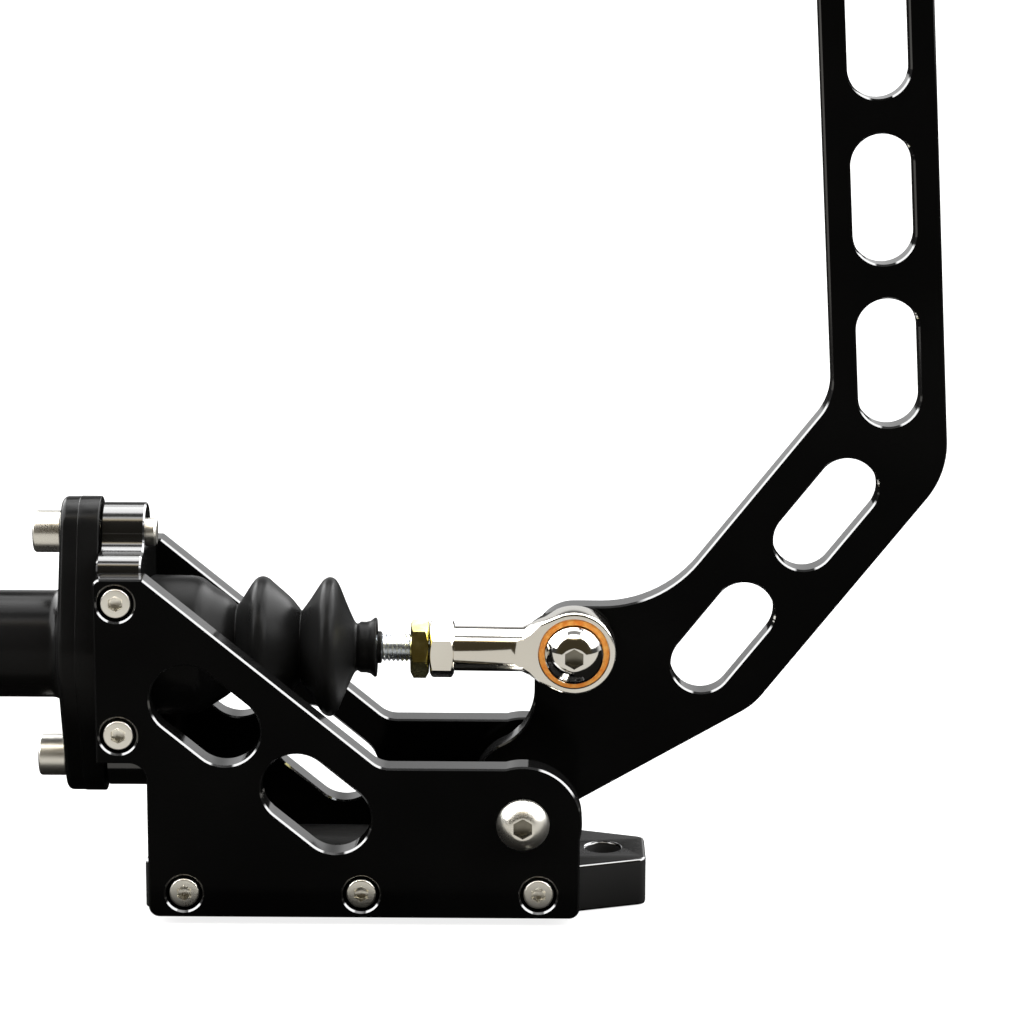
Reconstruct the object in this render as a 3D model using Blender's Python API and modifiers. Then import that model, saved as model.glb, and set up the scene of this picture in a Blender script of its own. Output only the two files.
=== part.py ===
"""Floor-mounted hydraulic parking brake lever.

Two side plates, a base bar and a front block carry a slotted lever on a pivot bolt. A rod end on
the lever pushes a rod into a master cylinder that is bolted to the front block.
Metres, +Z up. X runs from the cylinder's outlet (-X) to the lever (+X), Y across the side plates.
The origin is on the base bar's underside, straight below the lever's pivot axis.
"""

import math

import bmesh
import bpy
from mathutils import Matrix, Vector

MM = 0.001

# Fits and facets
FIT = 0.3 * MM  # gap between neighbouring pieces
WELD = 0.01 * MM  # vertices this close are one
FLAT = math.radians(0.05)  # faces this close in direction are one flat
ARC_STEP = 20.0  # degrees of turn for each facet of an outline's arc
BORE_SIDES = 16
SCREW_SIDES = 12
TURNED_SIDES = 24

# Pivot and rod end eye, both axes along Y
PIVOT_Z = 30.0 * MM
EYE_X = 14.3 * MM
AXIS_RISE = 44.0 * MM  # cylinder axis above pivot
EYE_SAG = 1.0 * MM  # eye below the cylinder axis, so the rod leans a little

# Side plates
PLATE_GAP = 42.0 * MM  # clear width between the plates
PLATE_T = 8.0 * MM
PLATE_EDGE = 0.5 * MM  # chamfer along every edge of the plates and the lever
PLATE_LEFT = 105.5 * MM  # pivot to the rear edge
PLATE_RIGHT = 16.1 * MM  # pivot to the front edge
PLATE_RISE = 16.0 * MM  # pivot to the low top edge
PLATE_BOSS_R = 16.7 * MM  # rounded end about the pivot
PLATE_FOOT_R = 3.0 * MM
PLATE_BEND_X = -40.0 * MM  # where the low top edge turns up
PLATE_BEND_R = 8.0 * MM
PLATE_TOP_R = 1.0 * MM  # upper end of the slanted edge
PLATE_SLANT_END_X = -105.6 * MM
EAR_TOP_Z = 100.0 * MM
EAR_FOOT_Z = 47.0 * MM
EAR_CORNER = 2.2 * MM
EAR_NOTCH = 5.0 * MM  # fillet under the ear
PLATE_SLOT_R = 10.0 * MM
PLATE_SLOT_SPAN = 14.0 * MM  # between the two end centres of a slot
PLATE_SLOT_PITCH = 40.0 * MM
PLATE_SLOT_INSET = 19.5 * MM  # slot centre line below the slanted edge
PLATE_SLOT_START = 37.7 * MM  # first slot's centre from the top of the slanted edge

# Base bar
BAR_T = 14.0 * MM
BAR_DROP = 2.0 * MM  # the bar stands this far below the plates
BAR_LEFT = 107.8 * MM
BAR_EDGE = 0.8 * MM
BAR_LEFT_CUT = 6.0 * MM
FOOT_SHOULDER_X = 8.5 * MM  # where the bar starts to narrow
FOOT_TIP_X = 35.4 * MM
FOOT_TIP_HALF = 10.2 * MM
FOOT_TIP_R = 3.0 * MM
FOOT_BEND_X = 17.0 * MM
FOOT_BEND_HALF = 16.7 * MM
BAR_HOLE_R = 5.0 * MM
BAR_HOLE_CHAMFER = 0.6 * MM
FOOT_HOLE_X = 23.2 * MM
REAR_HOLE_X = -70.5 * MM

# Front block, upright between the ears
BLOCK_BACK_X = -107.0 * MM
BLOCK_T = 12.5 * MM
BLOCK_EDGE = 0.5 * MM
BLOCK_RISE = 1.2 * MM  # the block's body above the ears
LOBE_R = 8.5 * MM
LOBE_ROOT_R = 5.0 * MM  # where a lobe flares out into the body
LOBE_LEAN = 4.0  # degrees that a lobe's sides lean outwards
LOBE_SINK = 0.2 * MM  # the flares end this far inside the body
LOBE_STEP = 0.2 * MM  # the lobes are this much thinner than the body
BLOCK_CORNER_R = 1.5 * MM
FLANGE_SCREW_PITCH = 66.0 * MM

# Master cylinder
FLANGE_T = 11.2 * MM
FLANGE_END_R = 10.2 * MM
FLANGE_MID_R = 22.0 * MM
FLANGE_EDGE = 1.8 * MM
BODY_R = 15.0 * MM
BODY_LEN = 58.0 * MM  # behind the flange
BODY_END_CHAMFER = 2.0 * MM
NECK_R = 3.5 * MM
SPIGOT_R = 14.0 * MM
SPIGOT_LEN = 10.0 * MM  # beyond the front block
BORE_R = 9.5 * MM
BORE_END_WALL = 12.0 * MM
OUTLET_BOSS_R = 9.0 * MM
OUTLET_BOSS_LEN = 6.0 * MM
OUTLET_R = 4.5 * MM
OUTLET_DEPTH = 11.0 * MM
FLUID_WAY_R = 1.6 * MM
INLET_BACK = 30.0 * MM  # inlet axis behind the flange
INLET_BOSS_R = 9.0 * MM
INLET_BOSS_RISE = 5.5 * MM
INLET_BORE_R = 5.6 * MM
INLET_FLOOR = 1.8 * MM
INLET_PORT_R = 1.2 * MM

# Piston group
STOP_T = 1.2 * MM
STOP_HOLE_R = 5.6 * MM
MOUTH_STEP = 2.0 * MM  # mouth recess wider than the bore
RING_T = 1.2 * MM
RING_GROOVE = 0.8 * MM
RING_OPENING = 15.0  # degrees each side of the ring's foot
RING_TAB = 18.0
RING_EYE_INSET = 1.9 * MM
RING_EYE_R = 0.8 * MM
MOUTH_LIP = 1.2 * MM
PISTON_SKIRT = 17.0 * MM
PISTON_LAND = 3.0 * MM
PISTON_WAIST_LEN = 5.0 * MM
PISTON_WAIST_R = 6.0 * MM
SEAL_GROOVE_R = 6.8 * MM
SEAL_W = 2.4 * MM
NOSE_R = 4.6 * MM
CUP_W = 4.0 * MM
SPRING_WIRE_R = 0.8 * MM
SPRING_MEAN_R = 6.4 * MM
SPRING_TURNS = 6
SPRING_STEPS = 10  # points on each turn

# Push rod
ROD_R = 4.0 * MM
BALL_END_R = 6.0 * MM
BALL_END_PLAY = 1.2 * MM  # around the ball end, because the rod swings and the piston slides
BALL_END_SEAT = 0.6 * MM
ROD_NECK_R = 3.2 * MM
ROD_GRIP = 18.0 * MM  # thread inside the rod end
JAM_NUT_T = 5.2 * MM
JAM_NUT_AF = 15.0 * MM
JAM_NUT_TURN = 13.4  # degrees, as it happened to be tightened

# Rod end, from the eye outwards
HOUSING_R = 12.0 * MM
HOUSING_HALF = 5.0 * MM
HOUSING_EDGE = 0.7 * MM
SHANK_R = 6.4 * MM
SHANK_START = 14.8 * MM  # eye centre to the shank's round part
HEX_END = 41.1 * MM  # eye centre to the far face of the hexagon
HEX_LEN = 6.9 * MM
HEX_AF = 15.2 * MM
HEX_TURN = 32.0  # degrees, almost corner up
LINER_R = 10.0 * MM
LINER_HALF = 4.7 * MM
BALL_R = 8.9 * MM
BALL_HALF = 6.0 * MM

# Boot: ends and convolutions measured from the block's rear face
BOOT_WALL = 1.6 * MM
BOOT_PEAK_R = 19.9 * MM
BOOT_DRUM_LEN = 13.4 * MM
BOOT_PEAK_FLAT = 1.6 * MM
BOOT_VALLEYS = ((26.0 * MM, 11.7 * MM), (43.2 * MM, 10.4 * MM))
BOOT_PEAKS = (33.4 * MM, 51.6 * MM)
BOOT_CONE_END = 59.8 * MM
BOOT_CONE_R = 6.6 * MM
BOOT_LIP_R = 8.5 * MM
BOOT_LIP_LEN = 5.2 * MM

# Lever plate: directions are degrees up from +X, points are from the pivot
LEVER_T = 8.0 * MM
HUB_R = 14.3 * MM
EYE_END_R = 11.2 * MM
HEEL_R = 16.0 * MM
LOWER_ANGLE = 29.9
LOWER_OFFSET = 11.4 * MM  # lower edge from the pivot
SLANT_ANGLE = 51.75
SLANT_MID = (76.5 * MM, 69.7 * MM)
SLANT_W = 39.4 * MM
UPPER_ANGLE = 93.4
UPPER_MID = (100.0 * MM, 170.0 * MM)
UPPER_W = 32.0 * MM
THROAT_R = 35.0 * MM
KNEE_R = 20.0 * MM
BEND_OUT_R = 25.0 * MM
BEND_IN_R = 16.0 * MM
LEVER_SLOT_R = 8.8 * MM
LEVER_SLOT_SPAN = 19.2 * MM
LEVER_SLOT_PITCH = 46.5 * MM
SLANT_SLOT_SHIFT = 15.2 * MM  # first slanted slot from SLANT_MID, up the slope
UPPER_SLOT_SHIFT = -44.5 * MM  # first upper slot from UPPER_MID, up the lever
UPPER_SLOTS = 3
SLANT_SLOTS = 2
SHOULDER_SHIFT = 75.0 * MM  # top shoulder from UPPER_MID, up the lever
SHOULDER_R = 7.0 * MM
TANG_W = 16.0 * MM
TANG_LEN = 104.0 * MM

# Grip
GRIP_R = 15.5 * MM
GRIP_COLLAR_R = 17.0 * MM
GRIP_COLLAR_LEN = 6.0 * MM
GRIP_LEN = 122.0 * MM
GRIP_DOME = 7.0 * MM
GRIP_GROOVE = 0.9 * MM
GRIP_GROOVE_W = 2.4 * MM
GRIP_BAND_LEN = 33.0 * MM
GRIP_BANDS = 3
GRIP_SCREW_INSET = 18.0 * MM  # upper screw below the tang's end
GRIP_SCREW_AT = (26.0 * MM, TANG_LEN - GRIP_SCREW_INSET)

# Bushes, spacers and fasteners
BOLT_R = 4.0 * MM
BUSH_WALL = 3.0 * MM
PIVOT_HEAD_R = 7.2 * MM
EYE_HEAD_R = 7.7 * MM
BUTTON_H = 4.4 * MM
BUTTON_SOCKET_AF = 5.2 * MM
NUT_AF = 13.0 * MM
NUT_T = 6.5 * MM
LOCK_NUT_T = 8.0 * MM
WASHER_R = 8.0 * MM
WASHER_T = 1.6 * MM
BOLT_TIP = 2.0 * MM  # bolt beyond its nut
SIDE_SCREW_R = 2.5 * MM
SIDE_SCREW_LEN = 16.0 * MM
SIDE_HEAD_R = 4.25 * MM
SIDE_HEAD_H = 5.0 * MM
SIDE_HEAD_SINK = 0.3 * MM
SIDE_SOCKET_AF = 4.0 * MM
COUNTERBORE_R = 5.2 * MM
COUNTERBORE_EDGE = 0.5 * MM
BASE_SCREW_Z = 9.0 * MM
BASE_SCREW_XS = (-95.5 * MM, -45.5 * MM, 4.5 * MM)
EAR_SCREW_RISES = (19.0 * MM, -19.0 * MM)  # from the cylinder axis
FLANGE_SCREW_R = 3.97 * MM
FLANGE_HEAD_R = 6.0 * MM
FLANGE_HEAD_H = 7.9 * MM
FLANGE_SOCKET_AF = 6.35 * MM
FLANGE_SCREW_TIP = 2.6 * MM  # screw beyond the front block

# Places worked out from the sizes
ROD_Z = PIVOT_Z + AXIS_RISE
EYE_Z = ROD_Z - EYE_SAG
PLATE_IN = PLATE_GAP / 2
PLATE_OUT = PLATE_IN + PLATE_T
BAR_HALF = PLATE_IN - FIT
BLOCK_FRONT_X = BLOCK_BACK_X - BLOCK_T
FLANGE_BACK_X = BLOCK_FRONT_X - FIT
FLANGE_FRONT_X = FLANGE_BACK_X - FLANGE_T
BODY_END_X = FLANGE_FRONT_X - BODY_LEN
BORE_END_X = BODY_END_X + BORE_END_WALL
SPIGOT_END_X = BLOCK_BACK_X + SPIGOT_LEN
STOP_X = SPIGOT_END_X - MOUTH_LIP - RING_T - STOP_T - 2 * FIT
PISTON_X = STOP_X - FIT
MOUTH_R = BORE_R + MOUTH_STEP
LEVER_Y = BALL_HALF + FIT
LEVER_BACK_Y = LEVER_Y + LEVER_T
LEVER_MID_Y = LEVER_Y + LEVER_T / 2
BUSH_R = BOLT_R + FIT + BUSH_WALL


# Scene, materials and small geometry helpers
def new_collection(name):
    made = bpy.data.collections.new(name)
    bpy.context.scene.collection.children.link(made)
    return made


def clear_scene():
    for obj in list(bpy.data.objects):
        bpy.data.objects.remove(obj, do_unlink=True)


clear_scene()
PARTS = new_collection("parking_brake_lever")
CUTTERS = new_collection("cutters")


def material(name, color, roughness, metallic):
    mat = bpy.data.materials.new(name)
    mat.use_nodes = True
    shader = mat.node_tree.nodes["Principled BSDF"]
    shader.inputs["Base Color"].default_value = (*color, 1.0)
    shader.inputs["Roughness"].default_value = roughness
    shader.inputs["Metallic"].default_value = metallic
    return mat


BLACK_ANODISED = material("black_anodised", (0.012, 0.012, 0.013), 0.25, 0.6)
BLACK_CAST = material("black_cast", (0.02, 0.02, 0.022), 0.4, 0.3)
STAINLESS = material("stainless", (0.62, 0.6, 0.55), 0.3, 1.0)
NICKEL = material("nickel_plate", (0.75, 0.72, 0.66), 0.15, 1.0)
ZINC_STEEL = material("zinc_steel", (0.6, 0.62, 0.65), 0.35, 1.0)
YELLOW_ZINC = material("yellow_zinc", (0.45, 0.4, 0.15), 0.3, 1.0)
BRONZE = material("bronze", (0.75, 0.38, 0.12), 0.35, 1.0)
RUBBER = material("black_rubber", (0.03, 0.03, 0.032), 0.6, 0.0)
SPRING_STEEL = material("spring_steel", (0.35, 0.35, 0.36), 0.4, 1.0)
PISTON_ALLOY = material("piston_alloy", (0.6, 0.6, 0.62), 0.3, 1.0)
BLACK_PLASTIC = material("black_plastic", (0.02, 0.02, 0.02), 0.5, 0.0)


def polar(centre, radius, degrees):
    angle = math.radians(degrees)
    return (centre[0] + radius * math.cos(angle), centre[1] + radius * math.sin(angle))


def arc(centre, radius, start, end):
    """Points from one angle to another, in degrees, either way round."""
    count = max(1, math.ceil(abs(end - start) / ARC_STEP))
    return [polar(centre, radius, start + (end - start) * i / count) for i in range(count + 1)]


def circle(centre, radius, sides=BORE_SIDES):
    return [polar(centre, radius, 360.0 * i / sides) for i in range(sides)]


def slot(first, second, radius):
    """A slot's outline, from its two end centres."""
    way = math.degrees(math.atan2(second[1] - first[1], second[0] - first[0]))
    return arc(second, radius, way - 90, way + 90) + arc(first, radius, way + 90, way + 270)


def fillet(before, corner, after, radius):
    """The arc that rounds a corner between two straight edges."""
    at = Vector(corner)
    back = (Vector(before) - at).normalized()
    ahead = (Vector(after) - at).normalized()
    half = back.angle(ahead) / 2
    centre = at + (back + ahead).normalized() * (radius / math.sin(half))
    first = at + back * (radius / math.tan(half)) - centre
    turn = 180 - math.degrees(2 * half)
    if back.cross(ahead) > 0:
        turn = -turn
    start = math.degrees(math.atan2(first.y, first.x))
    return arc(tuple(centre), radius, start, start + turn)


def rounded(corners):
    """A closed outline from (x, y, radius) corners; radius 0 stays sharp."""
    points = []
    for i, (x, y, radius) in enumerate(corners):
        before, after = corners[i - 1][:2], corners[(i + 1) % len(corners)][:2]
        points += fillet(before, (x, y), after, radius) if radius else [(x, y)]
    return points


def meet(first, first_angle, second, second_angle):
    """Where two lines cross, each a point and a direction in degrees."""
    a, b = math.radians(first_angle), math.radians(second_angle)
    across, up = second[0] - first[0], second[1] - first[1]
    along = (across * math.sin(b) - up * math.cos(b)) / math.sin(b - a)
    return (first[0] + along * math.cos(a), first[1] + along * math.sin(a))


# Object makers
TO_XZ = Matrix.Rotation(math.pi / 2, 4, "X")  # outline x, y to X, Z, thickness along Y
TO_YZ = Matrix(((0, 0, 1, 0), (1, 0, 0, 0), (0, 1, 0, 0), (0, 0, 0, 1)))
ALONG_X = Matrix.Rotation(math.pi / 2, 4, "Y")
ALONG_Y = Matrix.Rotation(-math.pi / 2, 4, "X")
UPRIGHT = Matrix.Identity(4)


def at(x=0.0, y=0.0, z=0.0):
    return Matrix.Translation((x, y, z))


def add(name, mesh, finish, place):
    """A part's object from its mesh, smooth where its facets stand for a round."""
    obj = bpy.data.objects.new(name, mesh)
    obj.matrix_world = place
    mesh.materials.clear()
    mesh.materials.append(finish)
    mesh.shade_smooth()
    mesh.set_sharp_from_angle(angle=math.radians(35))
    PARTS.objects.link(obj)
    return obj


def add_copies(name, mesh, finish, places):
    """One object for each place, all sharing the mesh."""
    for number, place in enumerate(places, start=1):
        add(f"{name}_{number}", mesh, finish, place)


def baked(obj, name):
    """The evaluated mesh of an object, its loose caps welded; the object itself is removed."""
    bpy.context.view_layer.update()
    mesh = bpy.data.meshes.new_from_object(obj.evaluated_get(bpy.context.evaluated_depsgraph_get()))
    mesh.name = name
    bpy.data.objects.remove(obj, do_unlink=True)
    bm = bmesh.new()
    bm.from_mesh(mesh)
    bmesh.ops.remove_doubles(bm, verts=bm.verts, dist=WELD)
    bmesh.ops.dissolve_degenerate(bm, edges=bm.edges, dist=WELD)
    bmesh.ops.dissolve_limit(bm, angle_limit=FLAT, verts=bm.verts, edges=bm.edges)
    bm.to_mesh(mesh)
    bm.free()
    return mesh


def outline_mesh(name, outline, holes, thickness, edge=0.0):
    """A flat piece from its outline, centred on its own plane, with chamfered edges."""
    curve = bpy.data.curves.new(name, "CURVE")
    curve.dimensions = "2D"
    curve.fill_mode = "BOTH"
    curve.extrude = thickness / 2 - edge
    curve.bevel_depth = edge
    curve.bevel_resolution = 0
    curve.offset = -edge
    for points in [outline, *holes]:
        spline = curve.splines.new("POLY")
        spline.points.add(len(points) - 1)
        for target, (x, y) in zip(spline.points, points):
            target.co = (x, y, 0.0, 1.0)
        spline.use_cyclic_u = True
    obj = bpy.data.objects.new(name, curve)
    PARTS.objects.link(obj)
    return baked(obj, name)


def turned_mesh(name, profile, sides=TURNED_SIDES, ring=False):
    """A turned shape from (radius, height) points down its outer side; a ring's profile closes."""
    mesh = bpy.data.meshes.new(name)
    verts = [(radius, 0.0, height) for radius, height in profile]
    edges = [(i, i + 1) for i in range(len(verts) - 1)]
    if ring:
        edges.append((len(verts) - 1, 0))
    mesh.from_pydata(verts, edges, [])
    obj = bpy.data.objects.new(name, mesh)
    PARTS.objects.link(obj)
    screw = obj.modifiers.new("turn", "SCREW")
    screw.axis = "Z"
    screw.angle = math.tau
    screw.steps = sides
    screw.render_steps = sides
    screw.use_merge_vertices = True
    screw.merge_threshold = WELD
    return baked(obj, name)


def prism_mesh(name, radius, length, sides):
    """A round or many-sided bar along its own Z, centred, made from a cone with equal ends."""
    mesh = bpy.data.meshes.new(name)
    bm = bmesh.new()
    bmesh.ops.create_cone(
        bm, cap_ends=True, segments=sides, radius1=radius, radius2=radius, depth=length
    )
    bm.to_mesh(mesh)
    bm.free()
    return mesh


def box_mesh(name, size):
    mesh = bpy.data.meshes.new(name)
    bm = bmesh.new()
    bmesh.ops.create_cube(bm, size=1.0, matrix=Matrix.Diagonal((*size, 1.0)))
    bm.to_mesh(mesh)
    bm.free()
    return mesh


def tool(mesh, place):
    """A cutter or a body to be joined: seen as wire, left out of the render."""
    obj = bpy.data.objects.new(mesh.name, mesh)
    obj.matrix_world = place
    obj.hide_render = True
    obj.display_type = "WIRE"
    CUTTERS.objects.link(obj)
    return obj


def boolean(obj, other, operation):
    step = obj.modifiers.new(other.name, "BOOLEAN")
    step.object = other
    step.operation = operation
    step.solver = "EXACT"


def cut(obj, mesh, place):
    boolean(obj, tool(mesh, place), "DIFFERENCE")


def unite(obj, mesh, place):
    boolean(obj, tool(mesh, place), "UNION")


def drill(obj, name, radius, length, place, sides=BORE_SIDES):
    cut(obj, prism_mesh(name, radius, length, sides), place)


def group_mesh(name, mesh, places):
    """Copies of one mesh as separate solids in one mesh."""
    bm = bmesh.new()
    for place in places:
        copy = mesh.copy()
        copy.transform(place)
        bm.from_mesh(copy)
        bpy.data.meshes.remove(copy)
    grouped = bpy.data.meshes.new(name)
    bm.to_mesh(grouped)
    bm.free()
    return grouped


def corner_r(across_flats):
    return across_flats / math.sqrt(3)


# Fastener shapes: the head's underside is at height 0, the shank runs down
def cap_screw_mesh(name, head_r, head_h, shank_r, length, socket_af, sides=SCREW_SIDES):
    edge = 0.1 * head_r
    profile = [
        (0.0, head_h),
        (head_r - edge, head_h),
        (head_r, head_h - edge),
        (head_r, 0.0),
        (shank_r, 0.0),
        (shank_r, -length),
        (0.0, -length),
    ]
    return socketed(turned_mesh(name, profile, sides), name, head_h, socket_af)


def button_screw_mesh(name, head_r, length, sides=TURNED_SIDES):
    rim = 0.12 * BUTTON_H
    top_r = 0.5 * head_r
    # The dome is the arc through the head's top edge and its rim
    rise = BUTTON_H - rim
    radius = ((head_r**2 - top_r**2 + rise**2) / (2 * rise)) ** 2 + top_r**2
    dome_z = BUTTON_H - math.sqrt(radius - top_r**2)
    steps = 4
    dome = []
    for i in range(steps + 1):
        r = top_r + (head_r - top_r) * i / steps
        dome.append((r, dome_z + math.sqrt(radius - r**2)))
    profile = [(0.0, BUTTON_H), *dome, (head_r, 0.0), (BOLT_R, 0.0)]
    profile += [(BOLT_R, -length), (0.0, -length)]
    return socketed(turned_mesh(name, profile, sides), name, BUTTON_H, BUTTON_SOCKET_AF)


def socketed(mesh, name, head_h, across_flats):
    """The screw with its hexagon socket cut half way down the head."""
    obj = add(name + "_blank", mesh, STAINLESS, UPRIGHT)
    depth = 0.55 * head_h
    hexagon = prism_mesh(name + "_socket", corner_r(across_flats), 2 * depth, 6)
    cutter = tool(hexagon, at(z=head_h))
    boolean(obj, cutter, "DIFFERENCE")
    made = baked(obj, name)
    bpy.data.objects.remove(cutter, do_unlink=True)
    return made


def nut_mesh(name, across_flats, thickness, hole_r):
    """A hexagon nut with its corners turned off at both ends."""
    blank = add(name + "_blank", prism_mesh(name, corner_r(across_flats), thickness, 6), STAINLESS, UPRIGHT)
    limit_r = corner_r(across_flats) * 1.01
    drop = (limit_r - across_flats * 0.48) * math.tan(math.radians(30))
    half = thickness / 2
    profile = [(0.0, half), (across_flats * 0.48, half), (limit_r, half - drop)]
    profile += [(limit_r, drop - half), (across_flats * 0.48, -half), (0.0, -half)]
    turned = tool(turned_mesh(name + "_turned", profile, BORE_SIDES), UPRIGHT)
    bore = tool(prism_mesh(name + "_bore", hole_r, 2 * thickness, SCREW_SIDES), UPRIGHT)
    boolean(blank, turned, "INTERSECT")
    boolean(blank, bore, "DIFFERENCE")
    made = baked(blank, name)
    bpy.data.objects.remove(turned, do_unlink=True)
    bpy.data.objects.remove(bore, do_unlink=True)
    return made


def tube_profile(outer_r, inner_r, high, low):
    return [(inner_r, high), (outer_r, high), (outer_r, low), (inner_r, low)]


# Side plates
def plate_slant():
    """The slanted edge: its upper end, its direction down to the bend and its inward normal."""
    top = Vector((PLATE_SLANT_END_X, EAR_TOP_Z))
    bend = Vector((PLATE_BEND_X, PIVOT_Z + PLATE_RISE))
    way = (bend - top).normalized()
    return top, way, Vector((way.y, -way.x))


def side_plate_outline():
    pivot = (0.0, PIVOT_Z)
    foot_z = BAR_DROP
    front = math.degrees(math.asin(PLATE_RIGHT / PLATE_BOSS_R))
    low_end = front - 90
    high_end = 180 - math.degrees(math.asin(PLATE_RISE / PLATE_BOSS_R))
    low_top = (PLATE_BEND_X, PIVOT_Z + PLATE_RISE)
    ear_top = (PLATE_SLANT_END_X, EAR_TOP_Z)
    ear_rear = (BLOCK_FRONT_X, EAR_TOP_Z)
    ear_foot = (BLOCK_FRONT_X, EAR_FOOT_Z)
    notch = (-PLATE_LEFT, EAR_FOOT_Z)
    rear_foot = (-PLATE_LEFT, foot_z)
    front_foot = (PLATE_RIGHT, foot_z)
    boss = arc(pivot, PLATE_BOSS_R, low_end, high_end)
    points = fillet(rear_foot, front_foot, boss[0], PLATE_FOOT_R)
    points += boss
    points += fillet(boss[-1], low_top, ear_top, PLATE_BEND_R)
    points += fillet(low_top, ear_top, ear_rear, PLATE_TOP_R)
    points += fillet(ear_top, ear_rear, ear_foot, EAR_CORNER)
    points += [ear_foot]
    points += fillet(ear_foot, notch, rear_foot, EAR_NOTCH)
    points += fillet(notch, rear_foot, front_foot, PLATE_FOOT_R)
    return points


def plate_slots():
    top, way, inward = plate_slant()
    made = []
    for i in range(2):
        middle = top + way * (PLATE_SLOT_START + i * PLATE_SLOT_PITCH) + inward * PLATE_SLOT_INSET
        half = way * (PLATE_SLOT_SPAN / 2)
        made.append(slot(tuple(middle - half), tuple(middle + half), PLATE_SLOT_R))
    return made


def side_screw_places():
    """X and Z of the five screws through each side plate."""
    ear_x = (BLOCK_BACK_X + BLOCK_FRONT_X) / 2
    ears = [(ear_x, ROD_Z + rise) for rise in EAR_SCREW_RISES]
    return ears + [(x, BASE_SCREW_Z) for x in BASE_SCREW_XS]


def counterbore_mesh(name):
    """The screw's seat: a chamfered counterbore at height 0 and a clearance hole below it."""
    depth = SIDE_HEAD_SINK + SIDE_HEAD_H + FIT
    wide = COUNTERBORE_R + COUNTERBORE_EDGE
    hole_r = SIDE_SCREW_R + FIT
    past = 2 * MM
    profile = [
        (0.0, past),
        (wide, past),
        (wide, 0.0),
        (COUNTERBORE_R, -COUNTERBORE_EDGE),
        (COUNTERBORE_R, -depth),
        (hole_r, -depth),
        (hole_r, -PLATE_T - past),
        (0.0, -PLATE_T - past),
    ]
    return turned_mesh(name, profile, BORE_SIDES)


def side_plate(name, side):
    """side is -1 for the near plate and +1 for the far one."""
    middle_y = side * (PLATE_IN + PLATE_T / 2)
    holes = plate_slots() + [circle((0.0, PIVOT_Z), BOLT_R + FIT)]
    mesh = outline_mesh(name, side_plate_outline(), holes, PLATE_T, PLATE_EDGE)
    plate = add(name, mesh, BLACK_ANODISED, at(y=middle_y) @ TO_XZ)
    seat = counterbore_mesh(name + "_seat")
    facing = ALONG_Y if side > 0 else ALONG_Y @ Matrix.Rotation(math.pi, 4, "X")
    seats = group_mesh(
        name + "_seats", seat, [at(x, side * PLATE_OUT, z) @ facing for x, z in side_screw_places()]
    )
    cut(plate, seats, UPRIGHT)


def side_screws(name, side):
    screw = cap_screw_mesh(
        name, SIDE_HEAD_R, SIDE_HEAD_H, SIDE_SCREW_R, SIDE_SCREW_LEN, SIDE_SOCKET_AF
    )
    under_y = side * (PLATE_OUT - SIDE_HEAD_SINK - SIDE_HEAD_H)
    facing = ALONG_Y if side > 0 else ALONG_Y @ Matrix.Rotation(math.pi, 4, "X")
    places = [at(x, under_y, z) @ facing for x, z in side_screw_places()]
    add_copies(name, screw, STAINLESS, places)


def screw_holes(obj, name, places):
    """Blind holes for the side screws, from both sides of a piece between the plates."""
    reach = SIDE_SCREW_LEN + FIT - (PLATE_T - SIDE_HEAD_SINK - SIDE_HEAD_H) + 1 * MM
    length = 2 * reach
    hole = prism_mesh(name, SIDE_SCREW_R + FIT, length, SCREW_SIDES)
    spots = [at(x, side * PLATE_IN, z) @ ALONG_Y for x, z in places for side in (-1, 1)]
    cut(obj, group_mesh(name, hole, spots), UPRIGHT)


# Base bar
def bar_outline():
    shoulder = (FOOT_SHOULDER_X, BAR_HALF, 0.0)
    bend = (FOOT_BEND_X, FOOT_BEND_HALF, 0.0)
    tip = (FOOT_TIP_X, FOOT_TIP_HALF, FOOT_TIP_R)
    rear_side = (BAR_LEFT_CUT - BAR_LEFT, BAR_HALF, 0.0)
    rear_end = (-BAR_LEFT, BAR_HALF - BAR_LEFT_CUT, 0.0)
    upper = [tip, bend, shoulder, rear_side, rear_end]
    lower = [(x, -y, radius) for x, y, radius in reversed(upper)]
    return rounded(upper + lower)


def base_bar():
    mesh = outline_mesh("base_bar", bar_outline(), [], BAR_T, BAR_EDGE)
    bar = add("base_bar", mesh, BLACK_ANODISED, at(z=BAR_T / 2))
    past = 1 * MM
    wide = BAR_HOLE_R + BAR_HOLE_CHAMFER
    profile = [
        (0.0, BAR_T + past),
        (wide, BAR_T + past),
        (wide, BAR_T),
        (BAR_HOLE_R, BAR_T - BAR_HOLE_CHAMFER),
        (BAR_HOLE_R, -past),
        (0.0, -past),
    ]
    hole = turned_mesh("base_bar_hole", profile, BORE_SIDES)
    cut(bar, group_mesh("base_bar_holes", hole, [at(x=x) for x in (FOOT_HOLE_X, REAR_HOLE_X)]), UPRIGHT)
    screw_holes(bar, "base_bar_screws", [(x, BASE_SCREW_Z) for x in BASE_SCREW_XS])


# Front block
def lobe_side(root_z):
    """From inside the body up the flared root and the leaning side to the lobe's tip."""
    lean = math.radians(LOBE_LEAN)
    tip = arc((0.0, FLANGE_SCREW_PITCH / 2), LOBE_R, LOBE_LEAN, 90)
    side_x, side_z = tip[0]
    flare_z = root_z + LOBE_ROOT_R * (1 - math.sin(lean))
    flare_x = side_x + (side_z - flare_z) * math.tan(lean)
    centre = (flare_x + LOBE_ROOT_R * math.cos(lean), root_z + LOBE_ROOT_R)
    inside = (centre[0], root_z - LOBE_ROOT_R)
    return [inside] + arc(centre, LOBE_ROOT_R, 270, 180 + LOBE_LEAN) + tip


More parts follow.
